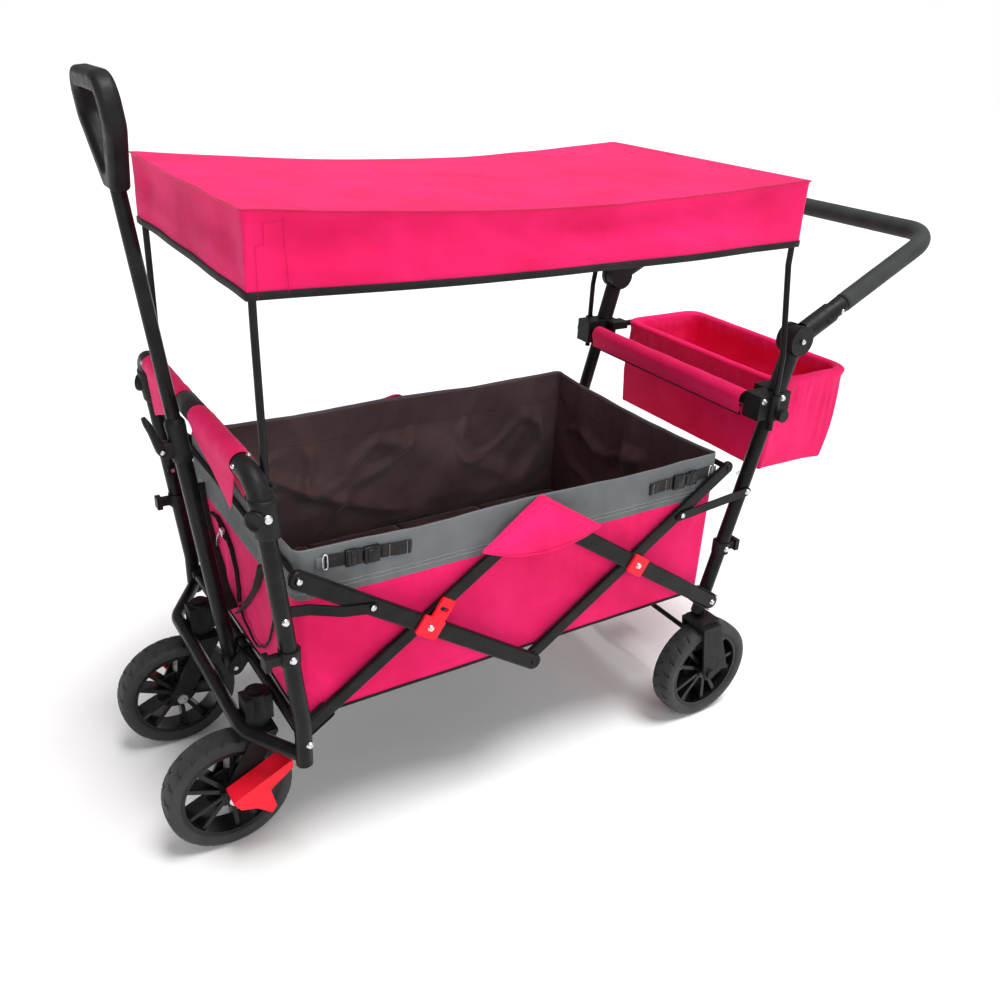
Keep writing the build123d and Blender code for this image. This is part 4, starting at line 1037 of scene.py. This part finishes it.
attach(grip, "push_handle", "push_grip")


# ---- flaps over the top joints of the scissor frame -------------------------------------
# fold settings for the flaps, anchored at the joint, which comes forward as the frame folds, and keeping a
# larger share than the tub's; attach reads them only to give each piece its own mesh
FLAP_FOLD = {"anchor": (-703.3 * MM, 0, 0), "keep": 0.45}


def flap_piece(side, word):
    """A leaf of cloth sewn to the rim, domed out over the joint, with its lower edge loose."""
    left, right = Vector((-254.8, 284, 499)) * MM, Vector((-36, 282, 490)) * MM
    top = Vector((-125.8, 243, 546)) * MM
    pull = Vector((-140, 297, 455)) * MM
    split = 0.56
    across, down = 40, 18
    points = []
    for j in range(down + 1):
        v = j / down
        for i in range(across + 1):
            u = i / across
            upper = left.lerp(top, u / split) if u < split else top.lerp(right, (u - split) / (1 - split))
            lower = left * (1 - u) ** 2 + pull * 2 * u * (1 - u) + right * u ** 2
            p = upper.lerp(lower, v)
            middle = math.sin(math.pi * u) ** 0.7
            p.y = upper.y + (lower.y - upper.y) * v ** 0.42 + 5 * MM * middle * math.sin(math.pi * v)
            p.y += 3.5 * MM * middle * ripple(p, 20, 101 + side)
            p.z += 1.5 * MM * middle * v * ripple(p, 14, 105 + side)
            points.append((p.x, side * p.y, p.z))
    faces = grid_faces(down + 1, across + 1)
    if side > 0:
        faces = [tuple(reversed(face)) for face in faces]
    flap = thicken(mesh_piece(f"{word}_joint_flap", points, faces, [PINK]), 1.6 * MM, offset=0)
    attach(flap, "bed", fold=FLAP_FOLD)
    row = across + 1
    border = grid_border(down + 1, row)
    hem_path = [points[k] for k in border[:1] + border[:0:-1]]
    hem = sweep(f"{word}_flap_hem", hem_path, disc(1.7 * MM, 8), PINK, closed=True)
    attach(hem, "bed", fold=FLAP_FOLD)
    for number, line in enumerate((1, down - 1)):
        path = np.array([points[line * row + k] for k in range(2, across - 1)])
        outward = np.array([(0, side, 0.25)] * len(path))
        path += outward * 1.2 * MM
        seam = stitches(f"{word}_flap_stitch_{number}", path, outward, PINK_THREAD, 3.6, 2.5)
        attach(seam, "bed", fold=FLAP_FOLD)


for side, word in SIDES:
    flap_piece(side, word)


# ---- buckle straps on the grey band -------------------------------------------------------
outer_points = shell_points[:sum(row[2] != LINING for row in bed_rows) * bed_columns]
# each block's start, end, width, thickness, height above the strap's middle and rounding, in millimetres
BUCKLE_BLOCKS = (
    (0, 24, 26, 6.4, 0, 1.1), (4, 19, 17, 7.6, 0, 1.1), (27, 35, 24, 5.6, 0, 1.1), (35, 52, 26, 6.0, 0, 1.1),
    (39, 44, 20, 7.2, 0, 1.1), (47, 50, 20, 7.2, 0, 1.1), (22, 37, 4.4, 5, -9, 1.0), (22, 37, 4.4, 5, 9, 1.0),
)
BUCKLE_START = 50 * MM


def wall_y(x, z, side):
    """How far out the tub's side wall stands near a place."""
    near = (np.abs(outer_points[:, 0] - x) < 9 * MM) & (np.abs(outer_points[:, 2] - z) < 14 * MM)
    near &= outer_points[:, 1] * side > 0.2
    return float(np.abs(outer_points[near, 1]).max()) if near.any() else BED_Y


def strap_line(side, x0, x1, z0, z1, lift, count=16):
    path = []
    for t in np.linspace(0, 1, count):
        x, z = x0 + (x1 - x0) * t, z0 + (z1 - z0) * t
        path.append((x, side * (wall_y(x, z, side) + lift), z))
    return path


def buckle_strap(name, side, x_sewn, x_ring, z_sewn, z_ring):
    """Webbing sewn to the band at one end, through a side-release buckle to a D-ring at the other."""
    toward = 1 if x_ring > x_sewn else -1

    def at(distance):
        x = x_sewn + toward * distance
        t = (x - x_sewn) / (x_ring - x_sewn)
        z = z_sewn + (z_ring - z_sewn) * t
        return x, side * wall_y(x, z, side), z

    long = abs(x_ring - x_sewn)
    fold_x, fold_z = x_sewn + toward * 46 * MM, z_sewn + (z_ring - z_sewn) * 46 * MM / long
    x_tab = x_ring + toward * 13 * MM
    parts = [
        sweep("web", strap_line(side, x_sewn, x_ring, z_sewn, z_ring, 0.7 * MM), flat_slab(21, 1.3), WEB_X),
        sweep("fold", strap_line(side, x_sewn, fold_x, z_sewn, fold_z, 2.1 * MM), flat_slab(21, 1.3), WEB_X),
    ]
    for begin, end, wide, thick, rise, round_by in BUCKLE_BLOCKS:
        x0, y0, z0 = at(BUCKLE_START + begin * MM)
        x1, _, z1 = at(BUCKLE_START + end * MM)
        y1, z = y0 + side * thick * MM, (z0 + z1) / 2 + rise * MM
        low = (min(x0, x1), min(y0, y1), z - wide / 2 * MM)
        high = (max(x0, x1), max(y0, y1), z + wide / 2 * MM)
        parts.append(box_piece("block", low, high, GLOSS, round_by * MM, 2))
    x, y, z = at(long - 2 * MM)
    loop = []
    for c, s in disc(1.0, 28):
        reach = 5.5 * MM * abs(c) ** 0.6 * (1 if c > 0 else -0.35)
        rise = 11.5 * MM * math.copysign(abs(s) ** 0.7, s)
        loop.append((x + toward * reach, y + side * 2.2 * MM, z + rise))
    parts.append(sweep("ring", loop, disc(1.3 * MM, 8), SILVER, closed=True, up=Y_AXIS))
    tab_line = strap_line(side, x_ring, x_tab, z_ring, z_ring, 0.9 * MM, 5)
    parts.append(sweep("tab", tab_line, flat_slab(17, 1.2), GREY))
    on_bed(joined(name, parts))
    rows = []
    for offset in (7, 34):
        x, y, z = at(offset * MM)
        line = [(x, y + side * 3.0 * MM, z + reach * MM) for reach in (-9.5, 9.5)]
        rows.append(stitches("stitch", line, [(0, side, 0)] * 2, THREAD, 2.6, 1.9))
    on_bed(joined(f"{name}_stitching", rows))


for side, word in SIDES:
    buckle_strap(f"{word}_front_buckle", side, -350 * MM, -482 * MM, 514 * MM, 521 * MM)
    buckle_strap(f"{word}_rear_buckle", side, 96 * MM, 232 * MM, 507 * MM, 513 * MM)


# ---- front panel: crossed straps, pocket zip and a hanging loop ----------------------------
def front_x(y, z):
    """Where the front panel's face stands at a place on it."""
    near = (np.abs(outer_points[:, 1] - y) < 14 * MM) & (np.abs(outer_points[:, 2] - z) < 14 * MM)
    near &= outer_points[:, 0] < BED_X0 + 40 * MM
    return float(outer_points[near, 0].min()) if near.any() else BED_X0


def on_front(path, lift):
    """A path of (y, z) in millimetres, laid on the front panel."""
    fine = []
    for (y0, z0), (y1, z1) in zip(path, path[1:]):
        for t in np.linspace(0, 1, 9)[:-1]:
            fine.append(((y0 + (y1 - y0) * t) * MM, (z0 + (z1 - z0) * t) * MM))
    fine.append((path[-1][0] * MM, path[-1][1] * MM))
    return [(front_x(y, z) - lift, y, z) for y, z in fine]


for side, word in SIDES:
    lift = (1.2 + 1.4 * (side > 0)) * MM
    line = on_front([(side * 150, 486), (side * 118, 430), (side * 62, 370), (side * 8, 322)], lift)
    on_bed(sweep(f"{word}_panel_strap", line, flat_slab(24, 1.5), WEB_Z, up=TO_FRONT))
arc = [(104, 452), (70, 458), (35, 452), (4, 432), (-14, 402), (-16, 370), (-8, 342)]
tape = sweep("pocket_zip_tape", on_front(arc, 1.3 * MM), flat_slab(12, 1.6), BLACK_CLOTH, up=TO_FRONT)
on_bed(tape)
teeth_line = on_front(arc, 2.4 * MM)
teeth = stitches("pocket_zip_teeth", teeth_line, [TO_FRONT] * len(teeth_line), GLOSS, 2.0, 1.3, 1.7)
on_bed(teeth)
pull_x = front_x(35 * MM, 440 * MM)
slider_low, slider_high = (pull_x - 7.5 * MM, 28 * MM, 444 * MM), (pull_x - 1 * MM, 39 * MM, 456 * MM)
slider = box_piece("slider", slider_low, slider_high, SILVER, 1.5 * MM)
tag_line = [(pull_x - x * MM, y * MM, z * MM) for x, y, z in ((7.5, 34, 450), (9, 42, 436), (6.5, 55, 416))]
tag = sweep("tag", tag_line, flat_slab(7, 1.3), SILVER, up=TO_FRONT)
on_bed(joined("pocket_zip_pull", [slider, tag]))
hang = [(-10, 336), (-28, 318), (-58, 306), (-92, 308), (-124, 326), (-150, 356), (-170, 392), (-184, 424)]
loop_path = [(x - 2 * MM, y, z) for x, y, z in on_front(hang, 1.2 * MM)]
loop_path = smooth_path(loop_path[::4], 14 * MM, 5 * MM)
on_bed(sweep("panel_loop", loop_path, disc(2.0 * MM, 8), BLACK_CLOTH, up=TO_FRONT))


# ---- rivet heads on the frame's bars, as (x, z, y) in millimetres ---------------------------
HINGE_X, HINGE_Z = 382.8, 732
for name, body, spots in (
    ("lower_front_rivets", "lower_front_bars", ((-134, 518.1, 269), (-529.8, 252, 269))),
    ("upper_front_rivets", "upper_front_bars", ((-529.8, 518.1, 271.2), (-134, 252, 269))),
    ("upper_rear_rivets", "upper_rear_bars", ((262.2, 518.1, 276.2),)),
    ("lower_rear_rivets", "lower_rear_bars", ((262.2, 252, 269),)),
    ("front_link_rivets", "front_links", ((-424.5, 448.3, 274.4),)),
    ("rear_link_rivets", "rear_links", ((162.4, 451.5, 261.8),)),
    ("hinge_rivets", "push_handle", ((HINGE_X, HINGE_Z, 264),)),
):
    heads = [rivet_head(x * MM, side * y * MM, z * MM, side) for x, z, y in spots for side, _ in SIDES]
    attach(joined(name, heads), body)


# ---- arms of the push handle, elbows of the front arch --------------------------------------
# stations along each turned piece and their radii, in millimetres
ARM = (
    (58, 13.2), (64, 14.6), (80, 15.1), (100, 15.6), (113, 16.0), (115.2, 15.4), (115.3, 13.4), (118, 13.4),
)
BARREL = (
    (652, 15.5), (651, 18.0), (647, 19.0), (640, 18.4), (618, 18.2), (600, 17.6), (597, 16.6), (595, 13.0),
)
BOSS = ((6, 14.5), (19.5, 14.5), (21, 13.2), (21, 10.4), (19.8, 9.8), (19.8, 0.5))
ELBOW_Y = 269.5 * MM

arm_line = Vector((math.cos(TILT), 0, math.sin(TILT)))
for side, word in SIDES:
    hinge = Vector((HINGE_X * MM, side * arm_y, HINGE_Z * MM))
    stations = [(hinge + arm_line * distance * MM, r * MM) for distance, r in ARM]
    arm = turned_piece("arm", stations, arm_line, Y_AXIS, PLASTIC, 24)
    spot = hinge + arm_line * 101 * MM - arm_line.cross(Y_AXIS) * 3 * MM
    head = rivet_head(spot.x, spot.y + side * 15.2 * MM, spot.z, side, 4.4 * MM, 2.4 * MM)
    attach(joined(f"{word}_arm_cover", [arm, head]), "push_handle")

arch = smooth_path(
    [(top_bar_x, 205 * MM, top_bar_z), (top_bar_x, ELBOW_Y, top_bar_z), (-570.6 * MM, ELBOW_Y, 612 * MM)],
    36 * MM, 4 * MM,
)
for side, word in SIDES:
    x, y = -572.2 * MM, side * ELBOW_Y
    outward = Vector((-0.8, side * 0.6, 0))
    barrel = [(Vector((x + (648 - z) * 0.094 * MM, y, z * MM)), r * MM) for z, r in BARREL]
    boss = [(Vector((x, y, 626 * MM)) + outward * reach * MM, r * MM) for reach, r in BOSS]
    ring_path = [(-558.8 * MM + a, side * 246 * MM + b, 651 * MM) for a, b in disc(10 * MM, 28)]
    parts = [
        sweep("tube", [(p.x, side * p.y, p.z) for p in arch], disc(15.2 * MM, 24), PLASTIC, up=X_AXIS),
        turned_piece("barrel", barrel, Z_AXIS, X_AXIS, PLASTIC),
        turned_piece("boss", boss, outward, Z_AXIS.cross(outward), PLASTIC, 24),
        sweep("pole_ring", ring_path, disc(3.2 * MM, 10, 1.4), PLASTIC, closed=True),
    ]
    for reach_x, reach_z in ((-14.4, 3.0), (6.0, 14.0)):
        spot = Vector((-576.8 + reach_x, side * 221, 676 + reach_z)) * MM
        normal = Vector((reach_x, 0, reach_z)).normalized()
        line = [spot - Y_AXIS * 3 * MM, spot + Y_AXIS * 3 * MM]
        parts.append(stitches("rivet", line, [normal] * 2, SILVER, 20, 7.5, 3.4))
    knuckle = joined(f"{word}_front_elbow", parts)
    attach(knuckle, "front_frame", "front_knuckles" if side < 0 else None)


# ---- collar and lever of the pull handle, in millimetres ----------------------------------------
LEAN = math.radians(6.8)
COLLAR = (
    (378, 12.6), (379, 14.6), (392, 15.0), (394, 14.4), (426, 14.4), (428, 15.0), (438, 14.8), (441, 13.4),
    (445, 11.0),
)
# the lever's middle in x and z, and its half width and depth
LEVER = (
    (-622.5, 611, 8.5, 5.5), (-626.6, 620, 10.5, 7.5), (-631, 633, 10.5, 6.5), (-636, 648, 9.5, 5.5),
    (-641, 661, 9.0, 5.5), (-645, 671, 7.0, 3.5),
)

handle_line = Vector((-math.sin(LEAN), 0, math.cos(LEAN)))
stations = [((Vector((-551.8, 0, 224)) + handle_line * distance) * MM, r * MM) for distance, r in COLLAR]
tube = turned_piece("tube", stations, handle_line, Y_AXIS, PLASTIC)
block_low, block_high = (-628 * MM, -9 * MM, 606 * MM), (-600 * MM, 9 * MM, 632 * MM)
block = box_piece("block", block_low, block_high, PLASTIC, 4 * MM)
attach(joined("pull_handle_collar", [tube, block]), "pull_handle", "pull_collar")

lever_out = Vector((LEVER[-1][0] - LEVER[0][0], 0, LEVER[-1][1] - LEVER[0][1])).normalized().cross(Y_AXIS)
lever_points = []
for x, z, wide, deep in LEVER:
    for c, s in disc(1.0, 20):
        across, out = math.copysign(abs(c) ** 0.6, c) * wide, math.copysign(abs(s) ** 0.6, s) * deep
        lever_points.append((Vector((x, across, z)) + lever_out * out) * MM)
lever_faces = grid_faces(len(LEVER), 20, closed=True) + end_caps(len(LEVER), 20)
lever_body = mesh_piece("lever_body", lever_points, lever_faces, [PLASTIC])
pins = [rivet_head(-626.6 * MM, side * 10.2 * MM, 619.2 * MM, side, 3.6 * MM, 1.6 * MM) for side, _ in SIDES]
attach(joined("collar_clamp_lever", [lever_body] + pins), "collar_lever", "collar_lever")


# ---- camera, light and floor ---------------------------------------------------------------
def look_from(place, yaw, pitch, roll, lens):
    camera = bpy.data.objects.new("camera", bpy.data.cameras.new("camera"))
    scene.collection.objects.link(camera)
    camera.data.lens = lens
    camera.data.sensor_width = 36
    camera.data.clip_end = 60
    back = Vector((math.sin(yaw) * math.cos(pitch), -math.cos(yaw) * math.cos(pitch), math.sin(pitch)))
    right = Vector((math.cos(yaw), math.sin(yaw), 0))
    up = back.cross(right)
    right, up = right * math.cos(roll) + up * math.sin(roll), up * math.cos(roll) - right * math.sin(roll)
    turned = Matrix((right, up, back)).transposed().to_4x4()
    camera.matrix_world = Matrix.Translation(place) @ turned
    scene.camera = camera


look_from((-0.9163, -1.3208, 1.1926), math.radians(-33.54), math.radians(26.27), math.radians(3.13), 34.83)


def sun(name, direction, strength, spread):
    data = bpy.data.lights.new(name, "SUN")
    data.energy = strength
    data.angle = math.radians(spread)
    light = bpy.data.objects.new(name, data)
    light.rotation_mode = "QUATERNION"
    light.rotation_quaternion = Vector(direction).to_track_quat("-Z", "Y")
    scene.collection.objects.link(light)


sun("key", (-0.2, 0.26, -1.25), 3.1, 28)
sun("front", (0.05, 0.95, -0.5), 1.0, 30)
sun("fill", (-0.8, 0.2, -0.7), 0.25, 50)

world = bpy.data.worlds.new("studio")
scene.world = world
world.use_nodes = True
sky = world.node_tree
sky.nodes["Background"].inputs["Color"].default_value = (1, 1, 1, 1)
sky.nodes["Background"].inputs["Strength"].default_value = 0.36
white = sky.nodes.new("ShaderNodeBackground")
white.inputs["Color"].default_value = (1, 1, 1, 1)
white.inputs["Strength"].default_value = 1.0
seen = sky.nodes.new("ShaderNodeLightPath")
blend = sky.nodes.new("ShaderNodeMixShader")
sky.links.new(seen.outputs["Is Camera Ray"], blend.inputs[0])
sky.links.new(sky.nodes["Background"].outputs[0], blend.inputs[1])
sky.links.new(white.outputs[0], blend.inputs[2])
sky.links.new(blend.outputs[0], sky.nodes["World Output"].inputs["Surface"])
scene.view_settings.view_transform = "Standard"

pale_floor = make_look(
    "pale_floor", ((0.86, 0.86, 0.86), (0.90, 0.90, 0.90)), (3, 2), (0.75, 0.9), (5, 2), (),
)
floor_corners = [(x, y, -0.5 * MM) for x, y in ((-20, -20), (20, -20), (20, 20), (-20, 20))]
floor = mesh_piece("floor", floor_corners, [(0, 1, 2, 3)], [pale_floor])
floor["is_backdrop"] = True

low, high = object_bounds()
